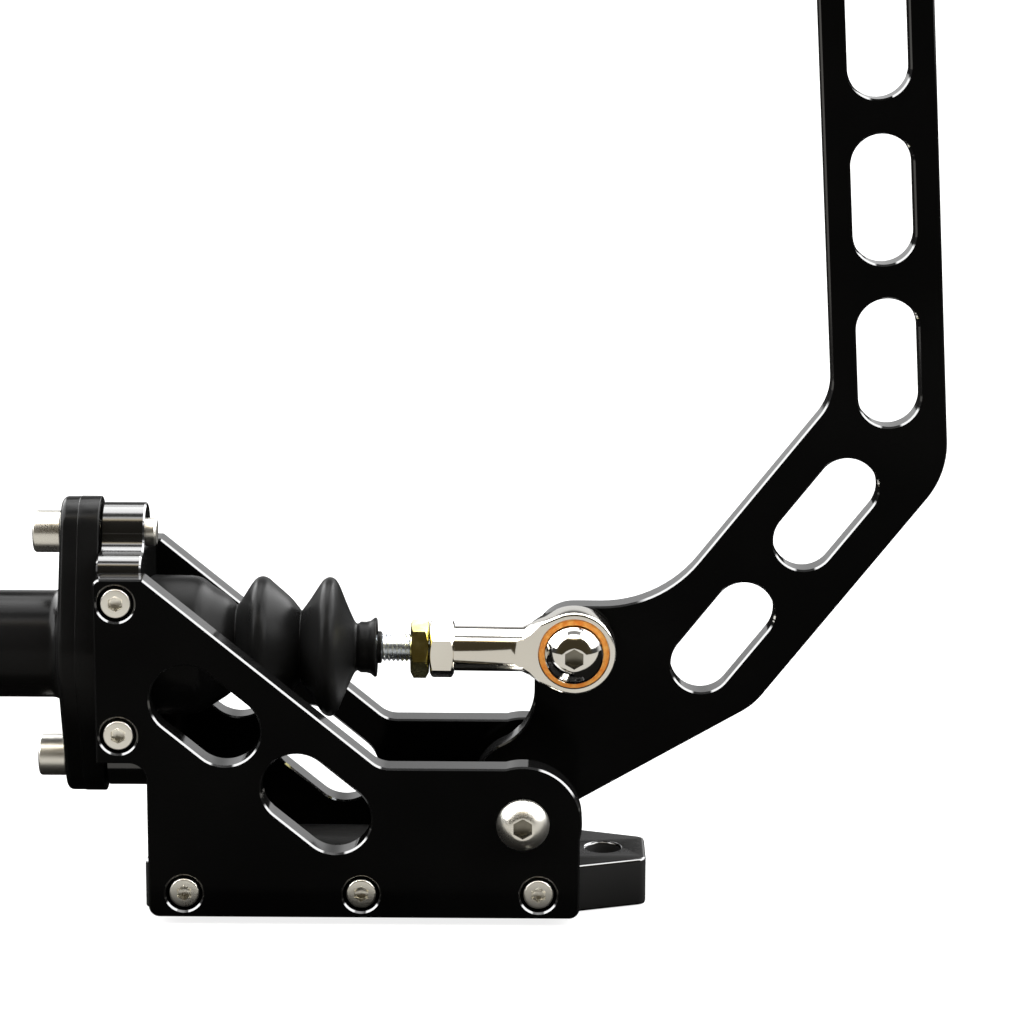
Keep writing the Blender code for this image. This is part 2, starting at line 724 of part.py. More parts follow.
def lobes_outline(top, foot):
    above = lobe_side(top - LOBE_SINK)
    below = [(x, -z) for x, z in lobe_side(-foot - LOBE_SINK)]
    half = list(reversed(below)) + above
    return half + [(-x, z) for x, z in reversed(half[1:-1])]


def front_block():
    """A body as wide as the gap, with a lobe above and below for the flange screws."""
    name = "front_block"
    top, foot = EAR_TOP_Z + BLOCK_RISE - ROD_Z, EAR_FOOT_Z - ROD_Z
    lobe_rise = FLANGE_SCREW_PITCH / 2
    corner = BLOCK_CORNER_R
    sides = [(BAR_HALF, foot, corner), (BAR_HALF, top, corner)]
    sides += [(-BAR_HALF, top, corner), (-BAR_HALF, foot, corner)]
    place = at((BLOCK_BACK_X + BLOCK_FRONT_X) / 2, 0.0, ROD_Z) @ TO_YZ
    block = add(name, outline_mesh(name, rounded(sides), [], BLOCK_T, BLOCK_EDGE), BLACK_ANODISED, place)
    lobes = outline_mesh(name + "_lobes", lobes_outline(top, foot), [], BLOCK_T - LOBE_STEP, BLOCK_EDGE)
    unite(block, lobes, place)
    past = BLOCK_T + 2 * MM
    drill(block, name + "_bore", SPIGOT_R + FIT, past, place, TURNED_SIDES)
    hole = prism_mesh(name + "_flange_screws", FLANGE_SCREW_R + FIT, past, BORE_SIDES)
    spots = [place @ at(y=side * lobe_rise) for side in (-1, 1)]
    cut(block, group_mesh(name + "_flange_screws", hole, spots), UPRIGHT)
    screw_holes(block, name + "_side_screws", side_screw_places()[:2])


# Master cylinder
def flange_outline():
    """A diamond with round ends: lines tangent to the middle circle and to both end circles."""
    rise = FLANGE_SCREW_PITCH / 2
    tilt = math.degrees(math.asin((FLANGE_MID_R - FLANGE_END_R) / rise))
    points = arc((0.0, 0.0), FLANGE_MID_R, -tilt, tilt)
    points += arc((0.0, rise), FLANGE_END_R, tilt, 180 - tilt)
    points += arc((0.0, 0.0), FLANGE_MID_R, 180 - tilt, 180 + tilt)
    points += arc((0.0, -rise), FLANGE_END_R, 180 + tilt, 360 - tilt)
    return points


def cylinder_profile():
    """Outer side from the mouth to the outlet, then back up the bore; heights are world X."""
    lip = 0.6 * MM
    neck = (BODY_R + NECK_R, FLANGE_FRONT_X - NECK_R)
    boss_end = BODY_END_X - OUTLET_BOSS_LEN
    groove_low = STOP_X + STOP_T + FIT
    groove_high = groove_low + RING_T + FIT
    outside = [
        (MOUTH_R, SPIGOT_END_X),
        (SPIGOT_R - lip, SPIGOT_END_X),
        (SPIGOT_R, SPIGOT_END_X - lip),
        (SPIGOT_R, FLANGE_BACK_X),
        (neck[0], FLANGE_BACK_X - FLANGE_T / 2),
    ]
    outside += arc(neck, NECK_R, 90, 180)
    outside += [
        (BODY_R, BODY_END_X + BODY_END_CHAMFER),
        (BODY_R - BODY_END_CHAMFER, BODY_END_X),
        (OUTLET_BOSS_R, BODY_END_X),
        (OUTLET_BOSS_R, boss_end + lip),
        (OUTLET_BOSS_R - lip, boss_end),
    ]
    inside = [
        (OUTLET_R, boss_end),
        (OUTLET_R, boss_end + OUTLET_DEPTH),
        (FLUID_WAY_R, boss_end + OUTLET_DEPTH + OUTLET_R - FLUID_WAY_R),
        (FLUID_WAY_R, BORE_END_X),
        (BORE_R, BORE_END_X),
        (BORE_R, PISTON_X),
        (MOUTH_R, PISTON_X),
        (MOUTH_R, groove_low),
        (MOUTH_R + RING_GROOVE, groove_low),
        (MOUTH_R + RING_GROOVE, groove_high),
        (MOUTH_R, groove_high),
    ]
    return outside + inside


def inlet_x():
    return FLANGE_FRONT_X - INLET_BACK


def inlet_top_z():
    return ROD_Z + BODY_R + INLET_BOSS_RISE


def master_cylinder():
    name = "master_cylinder_body"
    mesh = turned_mesh(name, cylinder_profile(), TURNED_SIDES, ring=True)
    body = add(name, mesh, BLACK_CAST, at(z=ROD_Z) @ ALONG_X)
    core = circle((0.0, 0.0), SPIGOT_R - 1 * MM, TURNED_SIDES)
    screw_holes_yz = [
        circle((0.0, side * FLANGE_SCREW_PITCH / 2), FLANGE_SCREW_R + FIT) for side in (-1, 1)
    ]
    flange = outline_mesh(
        name + "_flange", flange_outline(), [core, *screw_holes_yz], FLANGE_T, FLANGE_EDGE
    )
    unite(body, flange, at((FLANGE_BACK_X + FLANGE_FRONT_X) / 2, 0.0, ROD_Z) @ TO_YZ)
    top = inlet_top_z()
    root = ROD_Z + BORE_R + 1 * MM
    boss = prism_mesh(name + "_inlet_boss", INLET_BOSS_R, top - root, BORE_SIDES)
    unite(body, boss, at(inlet_x(), 0.0, (top + root) / 2))
    floor = ROD_Z + BORE_R + INLET_FLOOR
    past = 2 * MM
    way = [
        (0.0, top + past),
        (INLET_BORE_R, top + past),
        (INLET_BORE_R, floor),
        (INLET_PORT_R, floor),
        (INLET_PORT_R, ROD_Z + BORE_R - past),
        (0.0, ROD_Z + BORE_R - past),
    ]
    cut(body, turned_mesh(name + "_inlet_way", way, SCREW_SIDES), at(inlet_x()))


def flange_screws():
    length = FLANGE_T + 2 * FIT + BLOCK_T + FLANGE_SCREW_TIP
    screw = cap_screw_mesh(
        "flange_screw", FLANGE_HEAD_R, FLANGE_HEAD_H, FLANGE_SCREW_R, length, FLANGE_SOCKET_AF, BORE_SIDES
    )
    facing = ALONG_X @ Matrix.Rotation(math.pi, 4, "X")
    under = FLANGE_FRONT_X - FIT
    rise = FLANGE_SCREW_PITCH / 2
    places = [at(under, 0.0, ROD_Z + side * rise) @ facing for side in (-1, 1)]
    add_copies("flange_screw", screw, STAINLESS, places)


def inlet_fitting():
    """The rubber grommet in the inlet boss and the hose barb pushed into it."""
    top = inlet_top_z()
    floor = ROD_Z + BORE_R + INLET_FLOOR
    stem_r = 3.0 * MM
    way_r = 1.6 * MM
    rim_r = INLET_BOSS_R - 1.0 * MM
    rim_t = 2.0 * MM
    seal = [
        (stem_r + FIT, top + FIT + rim_t),
        (rim_r, top + FIT + rim_t),
        (rim_r, top + FIT),
        (INLET_BORE_R - FIT, top + FIT),
        (INLET_BORE_R - FIT, floor + FIT),
        (stem_r + FIT, floor + FIT),
    ]
    add("inlet_seal", turned_mesh("inlet_seal", seal, BORE_SIDES, ring=True), RUBBER, at(inlet_x()))
    collar = top + rim_t + 2 * FIT
    collar_t = 2.0 * MM
    barb_r = 4.2 * MM
    barb_pitch = 4.5 * MM
    barbs = 3
    tip = collar + collar_t + 3.0 * MM + barbs * barb_pitch
    profile = [(way_r, tip), (stem_r, tip)]
    for i in range(barbs):
        low = tip - (i + 1) * barb_pitch + 1.0 * MM
        profile += [(barb_r, low), (stem_r, low)]
    profile += [
        (stem_r, collar + collar_t),
        (rim_r - 1.0 * MM, collar + collar_t),
        (rim_r - 1.0 * MM, collar),
        (stem_r, collar),
        (stem_r, floor + 2 * FIT),
        (way_r, floor + 2 * FIT),
    ]
    barb = turned_mesh("inlet_barb", profile, BORE_SIDES, ring=True)
    add("inlet_barb", barb, BLACK_PLASTIC, at(inlet_x()))


# Piston group, on the cylinder's axis
def on_axis(name, profile, finish, sides=TURNED_SIDES, ring=False):
    add(name, turned_mesh(name, profile, sides, ring), finish, at(z=ROD_Z) @ ALONG_X)


def stop_washer_and_ring():
    stop = tube_profile(MOUTH_R - FIT, STOP_HOLE_R, STOP_X + STOP_T, STOP_X)
    on_axis("piston_stop_washer", stop, ZINC_STEEL, BORE_SIDES, ring=True)
    low = STOP_X + STOP_T + FIT + FIT / 2
    ring_r = MOUTH_R + RING_GROOVE - FIT
    ring = outline_mesh(
        "retaining_ring", retaining_ring_outline(ring_r), retaining_ring_eyes(ring_r), RING_T
    )
    add("retaining_ring", ring, SPRING_STEEL, at(low + RING_T / 2, 0.0, ROD_Z) @ TO_YZ)


def retaining_ring_outline(ring_r):
    """An internal ring: open at the foot, with a wide tab turned inwards at each end."""
    first, last = -90 + RING_OPENING, 270 - RING_OPENING
    band_r = ring_r - 2.0 * MM
    tab_r = ring_r - 2 * RING_EYE_INSET
    points = arc((0.0, 0.0), ring_r, first, last)
    points += arc((0.0, 0.0), tab_r, last, last - RING_TAB)
    points += arc((0.0, 0.0), band_r, last - RING_TAB, first + RING_TAB)
    points += arc((0.0, 0.0), tab_r, first + RING_TAB, first)
    return points


def retaining_ring_eyes(ring_r):
    middle = 180 - RING_OPENING - RING_TAB / 2
    eye_r = ring_r - RING_EYE_INSET
    return [circle(polar((0.0, 0.0), eye_r, 90 + side * middle), RING_EYE_R, 8) for side in (-1, 1)]


def piston_marks():
    """World X of the piston's steps, from its skirt face towards the outlet."""
    groove = PISTON_X - PISTON_SKIRT
    land = groove - SEAL_W - 2 * FIT
    waist = land - PISTON_LAND
    front = waist - PISTON_WAIST_LEN
    nose = front - PISTON_LAND
    return groove, land, waist, front, nose, nose - CUP_W - 2 * FIT


def ball_end_x():
    """Centre of the push rod's ball, seated in the piston's skirt."""
    return PISTON_X - BALL_END_R - 1.0 * MM - BALL_END_SEAT


def piston():
    groove, land, waist, front, nose, tip = piston_marks()
    piston_r = BORE_R - FIT
    socket_r = BALL_END_R + BALL_END_PLAY
    socket_x = ball_end_x() + socket_r - BALL_END_R - BALL_END_SEAT
    outside = [
        (piston_r, PISTON_X),
        (piston_r, groove),
        (SEAL_GROOVE_R, groove),
        (SEAL_GROOVE_R, land),
        (piston_r, land),
        (piston_r, waist),
        (PISTON_WAIST_R, waist),
        (PISTON_WAIST_R, front),
        (piston_r, front),
        (piston_r, nose),
        (NOSE_R, nose),
        (NOSE_R, tip),
        (0.0, tip),
    ]
    seat = [(r, x) for x, r in arc((socket_x, 0.0), socket_r, 180, 90)]
    profile = seat + [(socket_r, PISTON_X)] + outside
    on_axis("piston", profile, PISTON_ALLOY)


def piston_seals():
    groove, land, _, _, nose, tip = piston_marks()
    lip_r = BORE_R - FIT
    seal = tube_profile(lip_r, SEAL_GROOVE_R + FIT, groove - FIT, land + FIT)
    on_axis("secondary_seal", seal, RUBBER, BORE_SIDES, ring=True)
    cup = [
        (NOSE_R + FIT, nose - FIT),
        (lip_r - 1.2 * MM, nose - FIT),
        (lip_r, tip + FIT),
        (lip_r - 1.0 * MM, tip + FIT),
        (NOSE_R + 1.6 * MM, nose - FIT - 0.4 * CUP_W),
        (NOSE_R + FIT, nose - FIT - 0.4 * CUP_W),
    ]
    on_axis("primary_cup", cup, RUBBER, BORE_SIDES, ring=True)


def coil(name, start_x, end_x):
    """A closed-end compression spring: the pitch eases in and out over the end turns."""
    curve = bpy.data.curves.new(name, "CURVE")
    curve.dimensions = "3D"
    curve.bevel_depth = SPRING_WIRE_R
    curve.bevel_resolution = 2
    curve.use_fill_caps = True
    count = SPRING_TURNS * SPRING_STEPS
    spline = curve.splines.new("POLY")
    spline.points.add(count)
    wire = 2 * SPRING_WIRE_R + FIT
    travel = abs(end_x - start_x) - 2 * wire
    for i in range(count + 1):
        turn = i / SPRING_STEPS
        ends = min(turn, 1.0) + max(0.0, turn - (SPRING_TURNS - 1))
        middle = min(max(turn - 1.0, 0.0), SPRING_TURNS - 2) / (SPRING_TURNS - 2)
        height = start_x + math.copysign(1.0, end_x - start_x) * (ends * wire + middle * travel)
        angle = math.tau * turn
        y, z = SPRING_MEAN_R * math.cos(angle), SPRING_MEAN_R * math.sin(angle)
        spline.points[i].co = (height, y, z, 1.0)
    obj = bpy.data.objects.new(name, curve)
    PARTS.objects.link(obj)
    return baked(obj, name)


def return_spring():
    _, _, _, _, nose, tip = piston_marks()
    start = tip - FIT - SPRING_WIRE_R
    end = BORE_END_X + FIT + SPRING_WIRE_R
    add("return_spring", coil("return_spring", start, end), SPRING_STEEL, at(z=ROD_Z))


# Push rod and rod end
def rod_end_marks():
    """World X of the hexagon's faces and of the jam nut's faces."""
    hex_far = EYE_X - HEX_END
    hex_near = hex_far + HEX_LEN
    nut_near = hex_far - FIT
    return hex_far, hex_near, nut_near - JAM_NUT_T, nut_near


def rod_slope():
    return EYE_SAG / (EYE_X - ball_end_x())


def rod_lean():
    """Turns a piece on the cylinder's axis about the ball end until the axis meets the eye."""
    ball_x = ball_end_x()
    turn = Matrix.Rotation(math.atan(rod_slope()), 4, "Y")
    return at(ball_x, 0.0, ROD_Z) @ turn @ at(-ball_x, 0.0, -ROD_Z)


def push_rod():
    hex_far = rod_end_marks()[0]
    ball_x = ball_end_x()
    tip = hex_far + ROD_GRIP
    start = 180 - math.degrees(math.asin(ROD_NECK_R / BALL_END_R))
    ball = [(BALL_END_R * math.sin(math.radians(a)), ball_x - BALL_END_R * math.cos(math.radians(a)))
            for a in [start * (1 - i / 8) for i in range(9)]]
    neck_end = SPIGOT_END_X + 6.0 * MM
    cham = 0.8 * MM
    profile = [(0.0, tip), (ROD_R - cham, tip), (ROD_R, tip - cham), (ROD_R, neck_end)]
    profile += [(ROD_NECK_R, neck_end - cham), *ball]
    mesh = turned_mesh("push_rod", profile, SCREW_SIDES + 4)
    add("push_rod", mesh, ZINC_STEEL, rod_lean() @ at(z=ROD_Z) @ ALONG_X)


def jam_nut():
    _, _, low, high = rod_end_marks()
    mesh = nut_mesh("jam_nut", JAM_NUT_AF, JAM_NUT_T, ROD_R + FIT)
    turn = Matrix.Rotation(math.radians(JAM_NUT_TURN), 4, "Z")
    add("jam_nut", mesh, YELLOW_ZINC, rod_lean() @ at((low + high) / 2, 0.0, ROD_Z) @ ALONG_X @ turn)


def rod_end_housing():
    """The eye and its flared neck, joined to a round shank and a hexagon."""
    name = "rod_end_housing"
    hex_far, hex_near, _, _ = rod_end_marks()
    neck_x = -SHANK_START
    # The neck's edges run from the shank, tangent to the eye
    spread = math.hypot(neck_x, SHANK_R)
    lead = math.degrees(math.acos(HOUSING_R / spread))
    way = math.degrees(math.atan2(SHANK_R, neck_x))
    head = arc((0.0, 0.0), HOUSING_R, lead - way, way - lead)
    outline = head + [(neck_x, SHANK_R), (neck_x, -SHANK_R)]
    mesh = outline_mesh(
        name, outline, [circle((0.0, 0.0), LINER_R + FIT, TURNED_SIDES)], 2 * HOUSING_HALF, HOUSING_EDGE
    )
    lean = rod_lean()
    housing = add(name, mesh, NICKEL, lean @ at(EYE_X, 0.0, ROD_Z) @ TO_XZ)
    neck_world = EYE_X + neck_x
    reach = 2.5 * MM
    shank = [
        (0.0, neck_world + reach),
        (SHANK_R * 0.7, neck_world + reach),
        (SHANK_R, neck_world - reach),
        (SHANK_R, hex_near - 1.0 * MM),
        (0.0, hex_near - 1.0 * MM),
    ]
    unite(housing, turned_mesh(name + "_shank", shank, TURNED_SIDES), lean @ at(z=ROD_Z) @ ALONG_X)
    hexagon = nut_mesh(name + "_hexagon", HEX_AF, HEX_LEN, ROD_R + FIT)
    turn = Matrix.Rotation(math.radians(HEX_TURN), 4, "Z")
    unite(housing, hexagon, lean @ at((hex_far + hex_near) / 2, 0.0, ROD_Z) @ ALONG_X @ turn)
    depth = ROD_GRIP + FIT + 1.0 * MM
    bore_place = lean @ at(hex_far, 0.0, ROD_Z) @ ALONG_X
    drill(housing, name + "_thread", ROD_R + FIT, 2 * depth, bore_place, SCREW_SIDES + 4)


def about_eye(name, profile, finish, sides=TURNED_SIDES, ring=False):
    add(name, turned_mesh(name, profile, sides, ring), finish, at(EYE_X, 0.0, EYE_Z) @ ALONG_Y)


def ball_arc(radius, half_height, steps):
    """Points on a ball's outside between two flat faces, from high to low."""
    high = math.degrees(math.asin(half_height / radius))
    return [polar((0.0, 0.0), radius, high - 2 * high * i / steps) for i in range(steps + 1)]


def rod_end_bearing():
    liner = [(LINER_R, LINER_HALF), (LINER_R, -LINER_HALF)]
    liner += reversed(ball_arc(BALL_R + FIT, LINER_HALF, 6))
    about_eye("rod_end_liner", liner, BRONZE, ring=True)
    ball = ball_arc(BALL_R, BALL_HALF, 8)
    ball += [(BOLT_R + FIT, -BALL_HALF), (BOLT_R + FIT, BALL_HALF)]
    about_eye("rod_end_ball", ball, NICKEL, ring=True)


# Boot
def boot_profile():
    """A thin bellows: its outer side from the lip to the block, its inner side back."""
    base = BLOCK_BACK_X + FIT
    cuff_r = SPIGOT_R + FIT
    lip_end = BLOCK_BACK_X + BOOT_CONE_END + BOOT_LIP_LEN
    lip_start = BLOCK_BACK_X + BOOT_CONE_END
    stem = ROD_R + FIT
    outer = [(BOOT_LIP_R - 0.6 * MM, lip_end), (BOOT_LIP_R, lip_end - 0.8 * MM)]
    outer += [(BOOT_LIP_R, lip_start + 0.8 * MM), (BOOT_CONE_R + 0.6 * MM, lip_start)]
    inner = [(stem, lip_end), (stem, lip_start - 1.0 * MM)]
    flat = BOOT_PEAK_FLAT
    for peak, valley in zip(reversed(BOOT_PEAKS), reversed(BOOT_VALLEYS)):
        peak_x, valley_x, valley_r = BLOCK_BACK_X + peak, BLOCK_BACK_X + valley[0], valley[1]
        outer += [(BOOT_PEAK_R - 1.2 * MM, peak_x + flat + 0.9 * MM), (BOOT_PEAK_R, peak_x + flat / 2)]
        outer += [(BOOT_PEAK_R, peak_x - flat / 2), (BOOT_PEAK_R - 1.2 * MM, peak_x - flat - 0.9 * MM)]
        outer += [(valley_r, valley_x + 0.8 * MM), (valley_r, valley_x - 0.8 * MM)]
        inner += [(BOOT_PEAK_R - 2 * BOOT_WALL, peak_x)]
        inner += [(valley_r - BOOT_WALL, valley_x)]
    drum_x = BLOCK_BACK_X + BOOT_DRUM_LEN
    outer += [(BOOT_PEAK_R - 2.2 * MM, drum_x + 3.2 * MM), (BOOT_PEAK_R - 0.5 * MM, drum_x + 1.2 * MM)]
    outer += [(BOOT_PEAK_R, drum_x - 1.0 * MM), (BOOT_PEAK_R, base)]
    wide = BOOT_PEAK_R - BOOT_WALL
    inner += [(wide - 1.0 * MM, drum_x), (wide, SPIGOT_END_X + 2.0 * MM), (cuff_r, SPIGOT_END_X), (cuff_r, base)]
    return outer + list(reversed(inner))


def boot():
    """Its lip follows the rod, so its axis slopes from the block to the lip."""
    mesh = turned_mesh("boot", boot_profile(), ring=True)
    mesh.transform(at(z=ROD_Z) @ ALONG_X)
    slope = Matrix.Identity(4)
    slope[2][0] = -rod_slope()
    slope[2][3] = rod_slope() * ball_end_x()
    mesh.transform(slope)
    add("boot", mesh, RUBBER, UPRIGHT)


# Lever
def lever_lines():
    """The corners where the lever's straight edges cross, in X and Z."""
    pivot = Vector((0.0, PIVOT_Z))

    def side(middle, angle, width, sign):
        normal = math.radians(angle + 90)
        shift = sign * width / 2
        return (
            pivot.x + middle[0] + shift * math.cos(normal),
            pivot.y + middle[1] + shift * math.sin(normal),
        )

    lower = polar(tuple(pivot), LOWER_OFFSET, LOWER_ANGLE - 90)
    slant_low = side(SLANT_MID, SLANT_ANGLE, SLANT_W, -1)
    slant_high = side(SLANT_MID, SLANT_ANGLE, SLANT_W, 1)
    upper_out = side(UPPER_MID, UPPER_ANGLE, UPPER_W, -1)
    upper_in = side(UPPER_MID, UPPER_ANGLE, UPPER_W, 1)
    eye_top = (EYE_X, EYE_Z + EYE_END_R)
    knee = meet(lower, LOWER_ANGLE, slant_low, SLANT_ANGLE)
    bend_out = meet(slant_low, SLANT_ANGLE, upper_out, UPPER_ANGLE)
    bend_in = meet(slant_high, SLANT_ANGLE, upper_in, UPPER_ANGLE)
    throat = meet(eye_top, 0.0, slant_high, SLANT_ANGLE)
    return knee, bend_out, bend_in, throat


def up_lever(across, along):
    """A point on the upper section: across its width, and up from its middle."""
    way = math.radians(UPPER_ANGLE)
    x = UPPER_MID[0] + along * math.cos(way) + across * math.sin(way)
    z = PIVOT_Z + UPPER_MID[1] + along * math.sin(way) - across * math.cos(way)
    return (x, z)


def lever_outline():
    pivot = (0.0, PIVOT_Z)
    knee, bend_out, bend_in, throat = lever_lines()
    shoulder_out = up_lever(UPPER_W / 2, SHOULDER_SHIFT)
    shoulder_in = up_lever(-UPPER_W / 2, SHOULDER_SHIFT)
    tang_root = [up_lever(side * TANG_W / 2, SHOULDER_SHIFT) for side in (1, -1)]
    tang_top = [up_lever(side * TANG_W / 2, SHOULDER_SHIFT + TANG_LEN) for side in (1, -1)]
    # The hub runs from the lower edge round to the heel's fillet
    chord = math.degrees(math.acos(LOWER_OFFSET / HUB_R))
    hub_start = LOWER_ANGLE - 90 - chord
    eye_side = EYE_X - EYE_END_R
    heel_x = eye_side - HEEL_R
    heel_z = PIVOT_Z + math.sqrt((HUB_R + HEEL_R) ** 2 - heel_x**2)
    heel_way = math.degrees(math.atan2(heel_z - PIVOT_Z, heel_x))
    points = fillet(pivot_edge(knee), knee, bend_out, KNEE_R)
    points += fillet(knee, bend_out, shoulder_out, BEND_OUT_R)
    points += fillet(bend_out, shoulder_out, tang_root[0], SHOULDER_R)
    points += [tang_root[0]]
    points += fillet(tang_root[0], tang_top[0], tang_top[1], 2.0 * MM)
    points += fillet(tang_top[0], tang_top[1], tang_root[1], 2.0 * MM)
    points += [tang_root[1]]
    points += fillet(tang_root[1], shoulder_in, bend_in, SHOULDER_R)
    points += fillet(shoulder_in, bend_in, throat, BEND_IN_R)
    points += fillet(bend_in, throat, (EYE_X, EYE_Z + EYE_END_R), THROAT_R)
    points += arc((EYE_X, EYE_Z), EYE_END_R, 90, 180)
    points += arc((heel_x, heel_z), HEEL_R, 0, heel_way - 180)
    points += arc(pivot, HUB_R, heel_way, hub_start + 360)[1:]
    return points


def pivot_edge(knee):
    """A point on the lever's lower edge, back towards the hub."""
    return polar(knee, PIVOT_Z, LOWER_ANGLE + 180)


def lever_slots():
    made = []
    way = math.radians(SLANT_ANGLE)
    half = LEVER_SLOT_SPAN / 2
    for i in range(SLANT_SLOTS):
        shift = SLANT_SLOT_SHIFT - i * LEVER_SLOT_PITCH
        ends = [
            (
                SLANT_MID[0] + (shift + side * half) * math.cos(way),
                PIVOT_Z + SLANT_MID[1] + (shift + side * half) * math.sin(way),
            )
            for side in (-1, 1)
        ]
        made.append(slot(*ends, LEVER_SLOT_R))
    for i in range(UPPER_SLOTS):
        shift = UPPER_SLOT_SHIFT + i * LEVER_SLOT_PITCH
        made.append(slot(up_lever(0.0, shift - half), up_lever(0.0, shift + half), LEVER_SLOT_R))
    return made


def grip_frame():
    """The grip's foot on the lever's axis, its own Z up the lever."""
    x, z = up_lever(0.0, SHOULDER_SHIFT)
    lean = math.radians(UPPER_ANGLE - 90)
    return at(x, LEVER_MID_Y, z) @ Matrix.Rotation(-lean, 4, "Y") @ at(z=FIT)


def lever_plate():
    holes = lever_slots()
    holes.append(circle((0.0, PIVOT_Z), BUSH_R + FIT))
    holes.append(circle((EYE_X, EYE_Z), BOLT_R + FIT))
    for height in GRIP_SCREW_AT:
        holes.append(circle(up_lever(0.0, SHOULDER_SHIFT + FIT + height), SIDE_SCREW_R + FIT, SCREW_SIDES))
    mesh = outline_mesh("lever_plate", lever_outline(), holes, LEVER_T, PLATE_EDGE)
    add("lever_plate", mesh, BLACK_ANODISED, at(y=LEVER_MID_Y) @ TO_XZ)


def grip_profile():
    """Foot collar, three ringed bands and a domed top; heights from the lever's shoulder."""
    dome_z = GRIP_LEN - GRIP_DOME
    dome = [
        (GRIP_R * math.sin(math.radians(a)), dome_z + GRIP_DOME * math.cos(math.radians(a)))
        for a in range(0, 91, 15)
    ]
    profile = dome
    for i in range(GRIP_BANDS):
        high = dome_z - 5.0 * MM - i * (GRIP_BAND_LEN + GRIP_GROOVE_W)
        profile += [
            (GRIP_R, high),
            (GRIP_R - GRIP_GROOVE, high - GRIP_GROOVE),
            (GRIP_R - GRIP_GROOVE, high - GRIP_GROOVE_W + GRIP_GROOVE),
            (GRIP_R, high - GRIP_GROOVE_W),
        ]
    edge = 1.0 * MM
    profile += [
        (GRIP_R, GRIP_COLLAR_LEN + edge),
        (GRIP_COLLAR_R, GRIP_COLLAR_LEN),
        (GRIP_COLLAR_R, edge),
        (GRIP_COLLAR_R - edge, 0.0),
        (0.0, 0.0),
    ]
    return profile


def grip():
    frame = grip_frame()
    handle = add("grip", turned_mesh("grip", grip_profile()), BLACK_ANODISED, frame)
    depth = TANG_LEN + FIT
    past = 2 * MM
    slot_box = box_mesh("grip_tang_slot", (TANG_W + 2 * FIT, LEVER_T + 2 * FIT, depth + past))
    cut(handle, slot_box, frame @ at(z=(depth - past) / 2))
    seat_y = -GRIP_R + SIDE_HEAD_H + 1.0 * MM
    toward_near = ALONG_Y @ Matrix.Rotation(math.pi, 4, "X")
    seats, screws = [], []
    bore = turned_mesh("grip_screw_way", grip_screw_way(), SCREW_SIDES)
    screw = cap_screw_mesh(
        "grip_screw", SIDE_HEAD_R, SIDE_HEAD_H, SIDE_SCREW_R, grip_screw_len(), SIDE_SOCKET_AF
    )
    for height in GRIP_SCREW_AT:
        seats.append(frame @ at(y=seat_y + FIT, z=height) @ toward_near)
        screws.append(frame @ at(y=seat_y, z=height) @ toward_near)
    cut(handle, group_mesh("grip_screw_ways", bore, seats), UPRIGHT)
    add_copies("grip_screw", screw, STAINLESS, screws)


def grip_screw_len():
    """From the screw's seat in the grip's near side, through the tang, well into the far side."""
    return 2 * GRIP_R - SIDE_HEAD_H - 5.0 * MM


def grip_screw_way():
    head_way = COUNTERBORE_R - 0.4 * MM
    hole_r = SIDE_SCREW_R + FIT
    past = SIDE_HEAD_H + 4.0 * MM
    deep = grip_screw_len() + 1.0 * MM
    return [(0.0, past), (head_way, past), (head_way, 0.0), (hole_r, 0.0), (hole_r, -deep), (0.0, -deep)]


# Pivot and eye hardware
def about_pivot(name, outer_r, inner_r, low, high, finish, sides=BORE_SIDES):
    mesh = turned_mesh(name, tube_profile(outer_r, inner_r, high, low), sides, ring=True)
    add(name, mesh, finish, at(z=PIVOT_Z) @ ALONG_Y)


def pivot_hardware():
    hole = BOLT_R + FIT
    near = -PLATE_IN + FIT
    about_pivot("pivot_spacer_near", BUSH_R, hole, near, LEVER_Y - FIT, STAINLESS)
    about_pivot("pivot_spacer_far", BUSH_R, hole, LEVER_BACK_Y + FIT, PLATE_IN - FIT, STAINLESS)
    about_pivot("pivot_bush", BUSH_R, hole, LEVER_Y, LEVER_BACK_Y, BRONZE)
    washer_y = PLATE_OUT + FIT
    about_pivot("pivot_washer", WASHER_R, hole, washer_y, washer_y + WASHER_T, STAINLESS)
    nut_y = washer_y + WASHER_T + FIT
    nut = nut_mesh("pivot_nut", NUT_AF, LOCK_NUT_T, hole)
    add("pivot_nut", nut, STAINLESS, at(0.0, nut_y + LOCK_NUT_T / 2, PIVOT_Z) @ ALONG_Y)
    head_y = -PLATE_OUT - FIT
    length = nut_y + LOCK_NUT_T + BOLT_TIP - head_y
    bolt = button_screw_mesh("pivot_bolt", PIVOT_HEAD_R, length)
    toward_near = ALONG_Y @ Matrix.Rotation(math.pi, 4, "X")
    add("pivot_bolt", bolt, STAINLESS, at(0.0, head_y, PIVOT_Z) @ toward_near)


def eye_hardware():
    head_y = -BALL_HALF - FIT
    nut_y = LEVER_BACK_Y + FIT
    length = nut_y + NUT_T + BOLT_TIP - head_y
    toward_near = ALONG_Y @ Matrix.Rotation(math.pi, 4, "X")
    bolt = button_screw_mesh("eye_bolt", EYE_HEAD_R, length)
    add("eye_bolt", bolt, NICKEL, at(EYE_X, head_y, EYE_Z) @ toward_near)
    nut = nut_mesh("eye_nut", NUT_AF, NUT_T, BOLT_R + FIT)
    add("eye_nut", nut, STAINLESS, at(EYE_X, nut_y + NUT_T / 2, EYE_Z) @ ALONG_Y)


